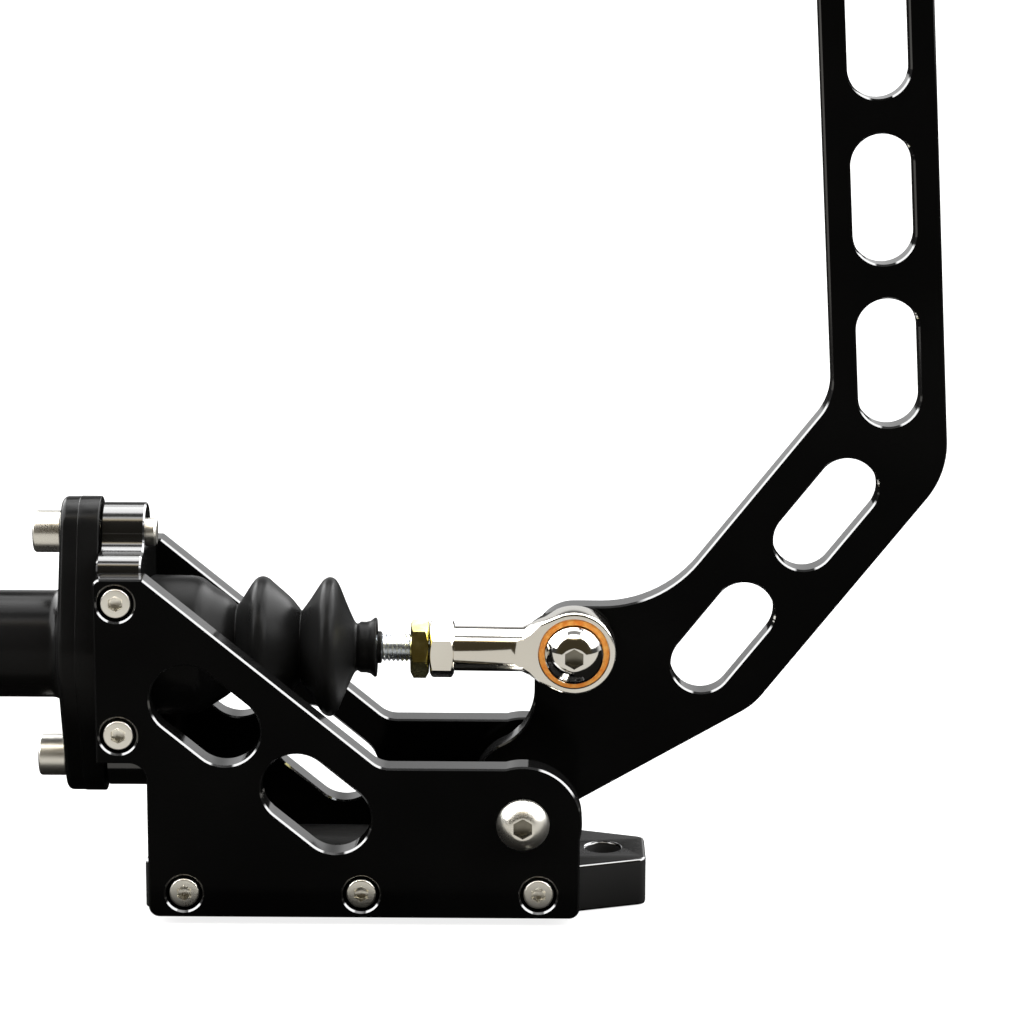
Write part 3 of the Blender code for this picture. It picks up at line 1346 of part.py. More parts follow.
side_plate("side_plate_near", -1)
side_plate("side_plate_far", 1)
side_screws("side_screw_near", -1)
side_screws("side_screw_far", 1)
base_bar()
front_block()
master_cylinder()
flange_screws()
inlet_fitting()
stop_washer_and_ring()
piston()
piston_seals()
return_spring()
push_rod()
jam_nut()
rod_end_housing()
rod_end_bearing()
boot()
lever_plate()
grip()
pivot_hardware()
eye_hardware()
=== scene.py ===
# %% [markdown]
# A floor-mounted hydraulic parking brake lever
#
# The lever is cut from flat plate, pushes a rod into a master cylinder, and stands on two side
# plates and a base bar. This lesson dresses the bare solids: each cell says what a piece is on the
# real object, how it could be made in Blender, and why it is made the way it is.

# %% Load the frame
import math

import bmesh
import bpy
from mathutils import Matrix, Vector


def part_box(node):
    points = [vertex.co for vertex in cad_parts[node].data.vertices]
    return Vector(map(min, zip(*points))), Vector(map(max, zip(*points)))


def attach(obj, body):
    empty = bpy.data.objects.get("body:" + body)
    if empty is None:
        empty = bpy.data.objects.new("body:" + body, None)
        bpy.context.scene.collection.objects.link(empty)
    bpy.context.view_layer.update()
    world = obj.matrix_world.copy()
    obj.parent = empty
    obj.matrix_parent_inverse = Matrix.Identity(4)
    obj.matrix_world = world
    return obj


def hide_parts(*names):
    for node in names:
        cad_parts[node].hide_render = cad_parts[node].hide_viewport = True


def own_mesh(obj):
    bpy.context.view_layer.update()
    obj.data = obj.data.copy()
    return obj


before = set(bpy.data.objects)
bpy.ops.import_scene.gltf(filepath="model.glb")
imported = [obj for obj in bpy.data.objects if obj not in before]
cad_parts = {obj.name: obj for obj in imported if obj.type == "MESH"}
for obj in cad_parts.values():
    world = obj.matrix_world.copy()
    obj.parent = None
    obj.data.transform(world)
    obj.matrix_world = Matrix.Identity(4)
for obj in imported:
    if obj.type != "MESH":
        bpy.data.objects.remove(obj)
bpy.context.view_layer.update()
MM = 0.001

# %% [markdown]
# The camera stands a metre away with a long lens, looking down about thirteen degrees. Its place
# was found from the corners of the two side plates, which are the same shape 50 mm apart, so the
# shift between them fixes both the height and the distance. The three axes of the camera are
# built one by one and put in a matrix, because that keeps the small roll under control.

# %% Camera
PHOTO_SIDE = 1024
FOCAL_PX = 3449.0
CAMERA_AT = Vector((1.6 * MM, -954.5 * MM, 327.2 * MM))
CAMERA_PITCH, CAMERA_YAW, CAMERA_ROLL = (math.radians(a) for a in (12.63, -0.31, 0.25))


def make_camera():
    data = bpy.data.cameras.new("camera")
    data.sensor_width = 36.0
    data.lens = FOCAL_PX / PHOTO_SIDE * data.sensor_width
    data.clip_start, data.clip_end = 0.05, 50.0
    ahead = Vector(
        (
            math.sin(CAMERA_YAW) * math.cos(CAMERA_PITCH),
            math.cos(CAMERA_YAW) * math.cos(CAMERA_PITCH),
            -math.sin(CAMERA_PITCH),
        )
    )
    level = Vector((math.cos(CAMERA_YAW), -math.sin(CAMERA_YAW), 0.0))
    above = level.cross(ahead)
    right = level * math.cos(CAMERA_ROLL) + above * math.sin(CAMERA_ROLL)
    up = above * math.cos(CAMERA_ROLL) - level * math.sin(CAMERA_ROLL)
    camera = bpy.data.objects.new("camera", data)
    camera.matrix_world = Matrix.Translation(CAMERA_AT) @ Matrix((right, up, -ahead)).transposed().to_4x4()
    bpy.context.scene.collection.objects.link(camera)
    bpy.context.scene.camera = camera
    return camera


print("lens, mm:", round(make_camera().data.lens, 1))

# %% [markdown]
# Black gloss shows nothing but what it mirrors, so the studio matters as much as the material.
# The bands on the rod end and the lobe give it away: two light boxes above with a narrow gap
# between them, a dark wall behind the camera, a white horizon at the back and a white floor in
# front. The world paints them by the direction of the ray, and camera rays get plain white.


# %% Node helpers
def link(tree, source, target):
    tree.links.new(source, target)


def new_node(tree, kind, **settings):
    made = tree.nodes.new(kind)
    for key, value in settings.items():
        setattr(made, key, value)
    return made


def feed(tree, socket, value):
    """Puts a number, a vector or another node's output on an input."""
    if isinstance(value, bpy.types.NodeSocket):
        link(tree, value, socket)
    else:
        socket.default_value = value


def compute(tree, operation, first, second=0.0, third=0.0, clamp=False):
    made = new_node(tree, "ShaderNodeMath", operation=operation, use_clamp=clamp)
    for socket, value in zip(made.inputs, (first, second, third)):
        feed(tree, socket, value)
    return made.outputs[0]


def spread(tree, value, low, high, to_low=0.0, to_high=1.0):
    made = new_node(tree, "ShaderNodeMapRange", interpolation_type="SMOOTHSTEP")
    names = ("Value", "From Min", "From Max", "To Min", "To Max")
    for key, item in zip(names, (value, low, high, to_low, to_high)):
        feed(tree, made.inputs[key], item)
    return made.outputs["Result"]


def blend_colors(tree, factor, first, second):
    made = new_node(tree, "ShaderNodeMix", data_type="RGBA")
    feed(tree, made.inputs["Factor"], factor)
    colors = [s for s in made.inputs if s.type == "RGBA"]
    feed(tree, colors[0], first)
    feed(tree, colors[1], second)
    return next(s for s in made.outputs if s.type == "RGBA")


def mixed(tree, factor, first, second):
    """The number that lies between first and second by the factor."""
    made = new_node(tree, "ShaderNodeMix", data_type="FLOAT")
    numbers = [s for s in made.inputs if s.type == "VALUE" and s.name in ("A", "B")]
    feed(tree, made.inputs["Factor"], factor)
    feed(tree, numbers[0], first)
    feed(tree, numbers[1], second)
    return next(s for s in made.outputs if s.type == "VALUE")


def grey(value):
    return (value, value, value, 1.0)


# %% World and lamps
BOX_GLOW, SIDE_GLOW, GAP_GLOW = 5.0, 12.0, 0.3
HORIZON_GLOW, BACK_GLOW, FRONT_GLOW, BELOW_GLOW = 0.8, 0.15, 0.05, 0.02
LAMP_POWER = 4.0
LAMP_SIZE, LAMP_AT, LAMP_TOWARD = (0.5, 0.5), (-0.1, 0.3, 1.0), (0.0, 0.0, 0.1)
REAR_BOX_Z, REAR_BOX_Y = (0.62, 0.7), (-0.09, -0.03)
FRONT_BOX_Z, FRONT_BOX_Y = (0.8, 0.86), (-0.3, -0.35)
SIDE_BOX_X, SIDE_BOX_Z, SIDE_BOX_Y = (0.3, 0.42), (0.2, 0.35), (-0.5, -0.4)
HORIZON_Z, WALL_Y, DOME_Z, BELOW_Z = (0.25, 0.36), (-0.2, 0.2), (0.75, 0.85), (-0.06, 0.0)
WARM_Y, WARM_TINT = (-0.35, -0.6), (1.0, 0.8, 0.45, 1.0)


def product(tree, *factors):
    value = factors[0]
    for factor in factors[1:]:
        value = compute(tree, "MULTIPLY", value, factor)
    return value


def make_world():
    """Light boxes above, a white horizon behind and a dark front, by the direction of the ray."""
    world = bpy.data.worlds.new("tent")
    bpy.context.scene.world = world
    world.use_nodes = True
    tree = world.node_tree
    back = tree.nodes["Background"]
    place = new_node(tree, "ShaderNodeTexCoord")
    parts = new_node(tree, "ShaderNodeSeparateXYZ")
    link(tree, place.outputs["Generated"], parts.inputs[0])
    x, y, z = parts.outputs
    aside = spread(tree, compute(tree, "ABSOLUTE", x), *SIDE_BOX_X)
    behind = mixed(tree, spread(tree, z, *HORIZON_Z), HORIZON_GLOW, BACK_GLOW)
    wall = mixed(tree, spread(tree, y, *WALL_Y), FRONT_GLOW, behind)
    dome = mixed(tree, spread(tree, z, *DOME_Z), wall, GAP_GLOW)
    rear_box = product(tree, spread(tree, z, *REAR_BOX_Z), spread(tree, y, *REAR_BOX_Y), BOX_GLOW)
    front_box = product(tree, spread(tree, z, *FRONT_BOX_Z), spread(tree, y, *FRONT_BOX_Y), BOX_GLOW)
    side_box = product(tree, aside, spread(tree, z, *SIDE_BOX_Z), spread(tree, y, *SIDE_BOX_Y), SIDE_GLOW)
    boxes = compute(tree, "MAXIMUM", compute(tree, "MAXIMUM", rear_box, front_box), side_box)
    lit = compute(tree, "MAXIMUM", dome, boxes)
    tent = mixed(tree, spread(tree, z, *BELOW_Z), BELOW_GLOW, lit)
    seen = new_node(tree, "ShaderNodeLightPath").outputs["Is Camera Ray"]
    warm = compute(tree, "SUBTRACT", spread(tree, y, *WARM_Y), seen, clamp=True)
    link(tree, blend_colors(tree, warm, grey(1.0), WARM_TINT), back.inputs["Color"])
    link(tree, compute(tree, "MAXIMUM", tent, seen), back.inputs["Strength"])


def lamp(name, size, power, place, toward):
    data = bpy.data.lights.new(name, "AREA")
    data.shape = "RECTANGLE"
    data.size, data.size_y = size
    data.energy = power
    obj = bpy.data.objects.new(name, data)
    obj.location = place
    obj.rotation_euler = (Vector(toward) - Vector(place)).to_track_quat("-Z", "Y").to_euler()
    bpy.context.scene.collection.objects.link(obj)
    return obj


make_world()
lamp("overhead", LAMP_SIZE, LAMP_POWER, LAMP_AT, LAMP_TOWARD)
bpy.context.scene.view_settings.view_transform = "Standard"

# %% [markdown]
# The floor is a wide white plane. To the camera it is white with a soft contact shadow. In
# reflections it glows white only in front of the object: below and behind it the glow drops to a
# painted shade, so the undersides and the upright chamfers stay black.

# %% Floor
FLOOR_SIDE = 16.0
SHADE_FROM_Y, SHADE_TO_Y = -0.055, -0.063
SHADE_GLOW, SHEET_GLOW, SHEET_TINT = 0.01, 0.75, (1.0, 0.97, 0.9, 1.0)
PAPER, PAPER_GLOW = 0.13, 0.84


def make_floor():
    mesh = bpy.data.meshes.new("floor")
    bm = bmesh.new()
    bmesh.ops.create_grid(bm, x_segments=1, y_segments=1, size=FLOOR_SIDE / 2)
    bm.to_mesh(mesh)
    bm.free()
    floor = bpy.data.objects.new("floor", mesh)
    floor.location = (0.0, 0.0, -0.0002)
    bpy.context.scene.collection.objects.link(floor)
    mat = bpy.data.materials.new("floor_white")
    mat.use_nodes = True
    tree = mat.node_tree
    tree.nodes.clear()
    out = new_node(tree, "ShaderNodeOutputMaterial")
    place = new_node(tree, "ShaderNodeTexCoord")
    parts = new_node(tree, "ShaderNodeSeparateXYZ")
    link(tree, place.outputs["Object"], parts.inputs[0])
    reflected_glow_and_painted_shade = new_node(tree, "ShaderNodeEmission")
    reflected_glow_and_painted_shade.inputs["Color"].default_value = SHEET_TINT
    # Painted shade: for reflected rays the floor's glow falls from SHEET_GLOW in front to SHADE_GLOW below
    # and behind the object.
    sheet = spread(tree, parts.outputs["Y"], SHADE_FROM_Y, SHADE_TO_Y, SHADE_GLOW, SHEET_GLOW)
    link(tree, sheet, reflected_glow_and_painted_shade.inputs["Strength"])
    paper = new_node(tree, "ShaderNodeBsdfDiffuse")
    paper.inputs["Color"].default_value = grey(PAPER)
    glow = new_node(tree, "ShaderNodeEmission")
    glow.inputs["Strength"].default_value = PAPER_GLOW
    white = new_node(tree, "ShaderNodeAddShader")
    link(tree, paper.outputs[0], white.inputs[0])
    link(tree, glow.outputs[0], white.inputs[1])
    choose = new_node(tree, "ShaderNodeMixShader")
    link(tree, new_node(tree, "ShaderNodeLightPath").outputs["Is Camera Ray"], choose.inputs[0])
    link(tree, reflected_glow_and_painted_shade.outputs[0], choose.inputs[1])
    link(tree, white.outputs[0], choose.inputs[2])
    link(tree, choose.outputs[0], out.inputs[0])
    mesh.materials.append(mat)
    return floor


print("floor:", make_floor().name)

# %% [markdown]
# Every finish starts from the same recipe. Noise in object coordinates gives a slow drift of
# tone and a fine grain, the drift moves the roughness a little, and the grain feeds a bump. The
# numbers differ: a polished plate has almost no grain, a sand casting has a lot.


# %% Finishes
def finish(name, low, high, rough, metal, drift=18.0, grain=900.0, bump=0.05, **constants):
    """A material whose colour goes from low to high, and whose roughness from rough[0] to rough[1]."""
    mat = bpy.data.materials.new(name)
    mat.use_nodes = True
    tree = mat.node_tree
    shader = tree.nodes["Principled BSDF"]
    place = new_node(tree, "ShaderNodeTexCoord").outputs["Object"]
    slow = new_node(tree, "ShaderNodeTexNoise")
    slow.inputs["Scale"].default_value = drift
    slow.inputs["Detail"].default_value = 5.0
    link(tree, place, slow.inputs["Vector"])
    fine = new_node(tree, "ShaderNodeTexNoise")
    fine.inputs["Scale"].default_value = grain
    fine.inputs["Detail"].default_value = 3.0
    link(tree, place, fine.inputs["Vector"])
    tone = spread(tree, slow.outputs["Fac"], 0.3, 0.7)
    link(tree, blend_colors(tree, tone, (*low, 1.0), (*high, 1.0)), shader.inputs["Base Color"])
    both = compute(tree, "MULTIPLY_ADD", fine.outputs["Fac"], 0.4, compute(tree, "MULTIPLY", tone, 0.6))
    link(tree, spread(tree, both, 0.2, 0.8, *rough), shader.inputs["Roughness"])
    raised = new_node(tree, "ShaderNodeBump")
    raised.inputs["Strength"].default_value = bump
    raised.inputs["Distance"].default_value = 0.1 * MM
    link(tree, fine.outputs["Fac"], raised.inputs["Height"])
    link(tree, raised.outputs["Normal"], shader.inputs["Normal"])
    shader.inputs["Metallic"].default_value = metal
    for key, value in constants.items():
        shader.inputs[key.replace("_", " ")].default_value = value
    return mat


ANODISED = finish("black_anodised", (0.001,) * 3, (0.002,) * 3, (0.1, 0.17), 0.0, bump=0.02,
                  Specular_IOR_Level=0.02)
EDGE_BLACK = finish("edge_anodised", (0.002,) * 3, (0.004,) * 3, (0.05, 0.09), 0.0, bump=0.01,
                    Specular_IOR_Level=1.0)
WALL_BLACK = finish("wall_anodised", (0.002,) * 3, (0.004,) * 3, (0.08, 0.13), 0.0, bump=0.02,
                    Specular_IOR_Level=0.9)
BAR_BLACK = finish("bar_anodised", (0.01,) * 3, (0.015,) * 3, (0.25, 0.35), 0.0, bump=0.05,
                   Specular_IOR_Level=0.01)
CAST = finish("black_cast", (0.003,) * 3, (0.005,) * 3, (0.18, 0.27), 0.0, drift=30.0, grain=1400.0,
              bump=0.15, Specular_IOR_Level=0.07)
STAINLESS = finish("stainless", (0.7, 0.68, 0.62), (0.86, 0.84, 0.78), (0.24, 0.36), 1.0, grain=2500.0,
                   bump=0.15)
# The socket's darker metal is painted shade for the recessed hexagon sockets, not a different metal.
SOCKET_PAINTED_SHADE = finish("socket_painted_shade", (0.2, 0.19, 0.16), (0.34, 0.32, 0.27), (0.35, 0.5), 1.0, bump=0.2)
NICKEL = finish("nickel_plate", (0.76, 0.74, 0.7), (0.88, 0.86, 0.83), (0.05, 0.12), 1.0, bump=0.03)
SATIN = finish("satin_nickel", (0.74, 0.71, 0.65), (0.84, 0.82, 0.76), (0.1, 0.17), 1.0, bump=0.04)
ZINC = finish("zinc_steel", (0.6, 0.64, 0.68), (0.78, 0.81, 0.84), (0.2, 0.32), 1.0, bump=0.1)
YELLOW_ZINC = finish("yellow_zinc", (0.6, 0.52, 0.16), (0.85, 0.8, 0.42), (0.16, 0.28), 1.0, drift=160.0,
                     bump=0.1)
BRONZE = finish("bronze", (0.85, 0.25, 0.03), (1.0, 0.5, 0.12), (0.35, 0.5), 0.6, drift=500.0, grain=1500.0,
                bump=0.5)
RUBBER = finish("boot_rubber", (0.003,) * 3, (0.005,) * 3, (0.27, 0.37), 0.0, drift=40.0, grain=1800.0,
                bump=0.2, Specular_IOR_Level=0.04)
SEAL = finish("seal_rubber", (0.015,) * 3, (0.02,) * 3, (0.5, 0.6), 0.0, bump=0.2)
PLASTIC = finish("black_plastic", (0.015,) * 3, (0.02,) * 3, (0.35, 0.5), 0.0, bump=0.2)
SPRING = finish("spring_steel", (0.3, 0.3, 0.31), (0.42, 0.42, 0.43), (0.25, 0.4), 1.0, bump=0.1)
ALLOY = finish("piston_alloy", (0.55, 0.55, 0.57), (0.7, 0.7, 0.72), (0.25, 0.35), 1.0, bump=0.1)
print("finishes:", len([m for m in bpy.data.materials if m.use_nodes]))

# %% [markdown]
# The plates are flat outlines with straight edges, arcs and slots. An outline is a list of points:
# a few helpers make the arcs, so that each shape only names its corners, centres and radii.

# %% Outlines
ARC_STEP = 4.0
PIVOT_Z, ROD_Z = 30.0 * MM, 74.0 * MM
EYE_X, EYE_Z = 14.3 * MM, 73.0 * MM
FIT = 0.3 * MM
M5_R, M8_R = 2.5 * MM, 4.0 * MM
M5_WAY_R, M8_WAY_R = M5_R + FIT, M8_R + FIT


def polar(centre, radius, degrees):
    angle = math.radians(degrees)
    return (centre[0] + radius * math.cos(angle), centre[1] + radius * math.sin(angle))


def arc(centre, radius, start, end, step=ARC_STEP):
    count = max(1, math.ceil(abs(end - start) / step))
    return [polar(centre, radius, start + (end - start) * i / count) for i in range(count + 1)]


def circle(centre, radius, sides=64):
    return [polar(centre, radius, 360.0 * i / sides) for i in range(sides)]


def slot_line(first, second, radius):
    way = math.degrees(math.atan2(second[1] - first[1], second[0] - first[0]))
    return arc(second, radius, way - 90, way + 90) + arc(first, radius, way + 90, way + 270)


def fillet(before, corner, after, radius):
    at = Vector(corner)
    back = (Vector(before) - at).normalized()
    ahead = (Vector(after) - at).normalized()
    half = back.angle(ahead) / 2
    centre = at + (back + ahead).normalized() * (radius / math.sin(half))
    first = at + back * (radius / math.tan(half)) - centre
    turn = 180 - math.degrees(2 * half)
    if back.cross(ahead) > 0:
        turn = -turn
    start = math.degrees(math.atan2(first.y, first.x))
    return arc(tuple(centre), radius, start, start + turn)


def rounded(corners):
    points = []
    for i, (x, y, radius) in enumerate(corners):
        before, after = corners[i - 1][:2], corners[(i + 1) % len(corners)][:2]
        points += fillet(before, (x, y), after, radius) if radius else [(x, y)]
    return points


def meet(first, first_angle, second, second_angle):
    a, b = math.radians(first_angle), math.radians(second_angle)
    across, up = second[0] - first[0], second[1] - first[1]
    along = (across * math.sin(b) - up * math.cos(b)) / math.sin(b - a)
    return (first[0] + along * math.cos(a), first[1] + along * math.sin(a))


print("one full arc has", len(arc((0, 0), 1, 0, 360)), "points")

# %% [markdown]
# Three ways to a solid cover nearly every piece here: a filled curve with thickness and chamfer
# for plate, a profile spun by the Screw modifier for turned parts, and a cone with equal ends for
# bars and hexagons. Booleans then cut or join them, and the result is baked to a plain mesh.

# %% Solids
TO_XZ = Matrix.Rotation(math.pi / 2, 4, "X")
TO_YZ = Matrix(((0, 0, 1, 0), (1, 0, 0, 0), (0, 1, 0, 0), (0, 0, 0, 1)))
ALONG_X = Matrix.Rotation(math.pi / 2, 4, "Y")
ALONG_Y = Matrix.Rotation(-math.pi / 2, 4, "X")
TO_NEAR = ALONG_Y @ Matrix.Rotation(math.pi, 4, "X")
WELD = 0.005 * MM
BALL_X = -109.1 * MM
ROD_SLOPE = (ROD_Z - EYE_Z) / (EYE_X - BALL_X)


def at(x=0.0, y=0.0, z=0.0):
    return Matrix.Translation((x, y, z))


ROD_LEAN = at(BALL_X, 0, ROD_Z) @ Matrix.Rotation(math.atan(ROD_SLOPE), 4, "Y") @ at(-BALL_X, 0, -ROD_Z)


def scratch(name, data):
    obj = bpy.data.objects.new(name, data)
    bpy.context.scene.collection.objects.link(obj)
    return obj


def baked(obj, extras=()):
    """The evaluated mesh of a scratch object, welded and facing outward; its objects are removed."""
    bpy.context.view_layer.update()
    mesh = bpy.data.meshes.new_from_object(obj.evaluated_get(bpy.context.evaluated_depsgraph_get()))
    for used in (obj, *extras):
        bpy.data.objects.remove(used, do_unlink=True)
    bm = bmesh.new()
    bm.from_mesh(mesh)
    bmesh.ops.remove_doubles(bm, verts=bm.verts, dist=WELD)
    bmesh.ops.dissolve_degenerate(bm, edges=bm.edges, dist=WELD)
    bmesh.ops.recalc_face_normals(bm, faces=bm.faces)
    bm.to_mesh(mesh)
    bm.free()
    return mesh


def plate(outline, holes, thickness, edge=0.0, rounding=0):
    curve = bpy.data.curves.new("outline", "CURVE")
    curve.dimensions = "2D"
    curve.fill_mode = "BOTH"
    curve.extrude = thickness / 2 - edge
    curve.bevel_depth = edge
    curve.bevel_resolution = rounding
    curve.offset = -edge
    for points in [outline, *holes]:
        spline = curve.splines.new("POLY")
        spline.points.add(len(points) - 1)
        for target, (x, y) in zip(spline.points, points):
            target.co = (x, y, 0.0, 1.0)
        spline.use_cyclic_u = True
    return baked(scratch("outline", curve))


def turned(profile, sides=96, ring=False):
    mesh = bpy.data.meshes.new("profile")
    edges = [(i, i + 1) for i in range(len(profile) - 1)]
    if ring:
        edges.append((len(profile) - 1, 0))
    mesh.from_pydata([(radius, 0.0, height) for radius, height in profile], edges, [])
    obj = scratch("profile", mesh)
    screw = obj.modifiers.new("turn", "SCREW")
    screw.axis = "Z"
    screw.angle = math.tau
    screw.steps = sides
    screw.render_steps = sides
    screw.use_merge_vertices = True
    screw.merge_threshold = WELD
    return baked(obj)


def bar(radius, length, sides=64):
    mesh = bpy.data.meshes.new("bar")
    bm = bmesh.new()
    bmesh.ops.create_cone(bm, cap_ends=True, segments=sides, radius1=radius, radius2=radius, depth=length)
    bm.to_mesh(mesh)
    bm.free()
    return mesh


def moved(mesh, place):
    mesh.transform(place)
    return mesh


def gathered(meshes):
    bm = bmesh.new()
    for mesh in meshes:
        bm.from_mesh(mesh)
    made = bpy.data.meshes.new("gathered")
    bm.to_mesh(made)
    bm.free()
    return made


def copies(mesh, places):
    return gathered([moved(mesh.copy(), place) for place in places])


def carved(mesh, *steps):
    """Applies (operation, mesh) steps in turn with exact Booleans."""
    obj = scratch("work", mesh)
    tools = []
    for operation, other in steps:
        tools.append(scratch("tool", other))
        step = obj.modifiers.new(operation, "BOOLEAN")
        step.object = tools[-1]
        step.operation = operation
        step.solver = "EXACT"
    return baked(obj, tools)


# %% Pieces
def piece(name, mesh, materials, body, slot, *nodes, smooth=32.0):
    """A finished piece: shaded, riding on its body, standing for its CAD nodes."""
    obj = scratch(f"{name}_dressed", mesh)
    slots = [face.material_index for face in mesh.polygons]
    mesh.materials.clear()
    for material in materials:
        mesh.materials.append(material)
    mesh.polygons.foreach_set("material_index", slots)
    mesh.shade_smooth()
    mesh.set_sharp_from_angle(angle=math.radians(smooth))
    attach(obj, body)
    if nodes:
        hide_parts(*nodes)
    print(f"{name}: {len(mesh.polygons)} faces on {body}")
    return obj


def use_material(mesh, index):
    for face in mesh.polygons:
        face.material_index = index


def mark_edges(mesh, axis, low=0.35, high=0.93):
    """Faces across the axis keep the first material, chamfers take the second, walls the third."""
    for face in mesh.polygons:
        slope = abs(face.normal.dot(axis))
        face.material_index = 0 if slope > high else 1 if slope > low else 2


ACROSS, ALONG, UP = Vector((0, 1, 0)), Vector((1, 0, 0)), Vector((0, 0, 1))

# %% [markdown]
# Each side plate is 8 mm plate with a rounded end about the pivot, an ear for the front block and
# two slots along the slanted edge. Five cap screws sit in chamfered counterbores. The flat face,
# the chamfer and the milled wall shine differently, so each takes a black of its own: the thin
# bright lines of the chamfers are what draws the shape in the picture.

# %% Side plates
PLATE_IN, PLATE_T, PLATE_EDGE = 21.0 * MM, 8.0 * MM, 0.5 * MM
PLATE_OUT = PLATE_IN + PLATE_T
BLOCK_FRONT_X, BLOCK_BACK_X = -119.5 * MM, -107.0 * MM
PLATE_BEND, PLATE_TOP = (-40.0 * MM, PIVOT_Z + 16.0 * MM), (-105.6 * MM, 100.0 * MM)
EAR_SCREW_X, FOOT_SCREW_Z = -113.25 * MM, 9.0 * MM
SCREW_SPOTS = [(EAR_SCREW_X, 93.0 * MM), (EAR_SCREW_X, 55.0 * MM)]
SCREW_SPOTS += [(x * MM, FOOT_SCREW_Z) for x in (-95.5, -45.5, 4.5)]
HEAD_R, HEAD_H, HEAD_SINK, SEAT_R, SEAT_EDGE = 4.25 * MM, 5.0 * MM, 0.3 * MM, 5.2 * MM, 0.5 * MM


def side_plate_line():
    rear, front, foot, boss_r = -105.5 * MM, 16.1 * MM, 2.0 * MM, 16.7 * MM
    low_end = math.degrees(math.asin(front / boss_r)) - 90
    high_end = 180 - math.degrees(math.asin((PLATE_BEND[1] - PIVOT_Z) / boss_r))
    ear, ear_foot = (BLOCK_FRONT_X, 100.0 * MM), (BLOCK_FRONT_X, 47.0 * MM)
    notch, rear_foot, front_foot = (rear, 47.0 * MM), (rear, foot), (front, foot)
    boss = arc((0.0, PIVOT_Z), boss_r, low_end, high_end)
    points = fillet(rear_foot, front_foot, boss[0], 3.0 * MM) + boss
    points += fillet(boss[-1], PLATE_BEND, PLATE_TOP, 8.0 * MM)
    points += fillet(PLATE_BEND, PLATE_TOP, ear, 1.0 * MM)
    points += fillet(PLATE_TOP, ear, ear_foot, 2.2 * MM) + [ear_foot]
    points += fillet(ear_foot, notch, rear_foot, 5.0 * MM)
    points += fillet(notch, rear_foot, front_foot, 3.0 * MM)
    return points


def side_plate_slots():
    top = Vector(PLATE_TOP)
    way = (Vector(PLATE_BEND) - top).normalized()
    inward = Vector((way.y, -way.x))
    lines = []
    for start in (37.7 * MM, 77.7 * MM):
        middle = top + way * start + inward * 19.5 * MM
        lines.append(slot_line(tuple(middle - way * 7.0 * MM), tuple(middle + way * 7.0 * MM), 10.0 * MM))
    return lines


def screw_seat():
    depth, past = HEAD_SINK + HEAD_H + FIT, 2.0 * MM
    wide, far_end = SEAT_R + SEAT_EDGE, -PLATE_T - past
    profile = [(0, past), (wide, past), (wide, 0), (SEAT_R, -SEAT_EDGE), (SEAT_R, -depth)]
    return turned(profile + [(M5_WAY_R, -depth), (M5_WAY_R, far_end), (0, far_end)], 64)


def side_plate(name, side):
    holes = side_plate_slots() + [circle((0, PIVOT_Z), M8_WAY_R)]
    flat = plate(side_plate_line(), holes, PLATE_T, PLATE_EDGE)
    moved(flat, at(y=side * (PLATE_IN + PLATE_T / 2)) @ TO_XZ)
    facing = ALONG_Y if side > 0 else TO_NEAR
    seats = copies(screw_seat(), [at(x, side * PLATE_OUT, z) @ facing for x, z in SCREW_SPOTS])
    mesh = carved(flat, ("DIFFERENCE", seats))
    mark_edges(mesh, ACROSS)
    piece(name, mesh, (ANODISED, EDGE_BLACK, WALL_BLACK), "base", "black_anodised", name)


side_plate("side_plate_near", -1)
side_plate("side_plate_far", 1)

# %% [markdown]
# The lever is the longest piece: a hub at the pivot, a short end behind the rod end's eye, a wide
# slanted arm and a narrower upright arm with a row of slots. Only the straight edges are given,
# by a point and a direction. The corners are where they cross, each rounded with its own radius.

# %% Lever plate
LEVER_Y, LEVER_T = 6.3 * MM, 8.0 * MM
LEVER_MID_Y = LEVER_Y + LEVER_T / 2
LOWER_ANGLE, SLANT_ANGLE, UPPER_ANGLE = 29.9, 51.75, 93.4
SLANT_MID, UPPER_MID = (76.5 * MM, PIVOT_Z + 69.7 * MM), (99.93 * MM, PIVOT_Z + 170.0 * MM)
SLANT_W, UPPER_W, TANG_W, TANG_LEN = 39.4 * MM, 32.0 * MM, 16.0 * MM, 104.0 * MM
SHOULDER_SHIFT, SLOT_PITCH, SLOT_HALF, SLOT_R = 75.0 * MM, 46.5 * MM, 9.6 * MM, 8.8 * MM
GRIP_SCREW_AT = (26.0 * MM, 86.0 * MM)


def beside(middle, angle, shift):
    return polar(middle, shift, angle + 90)


def up_lever(across, along):
    return polar(polar(UPPER_MID, along, UPPER_ANGLE), across, UPPER_ANGLE - 90)


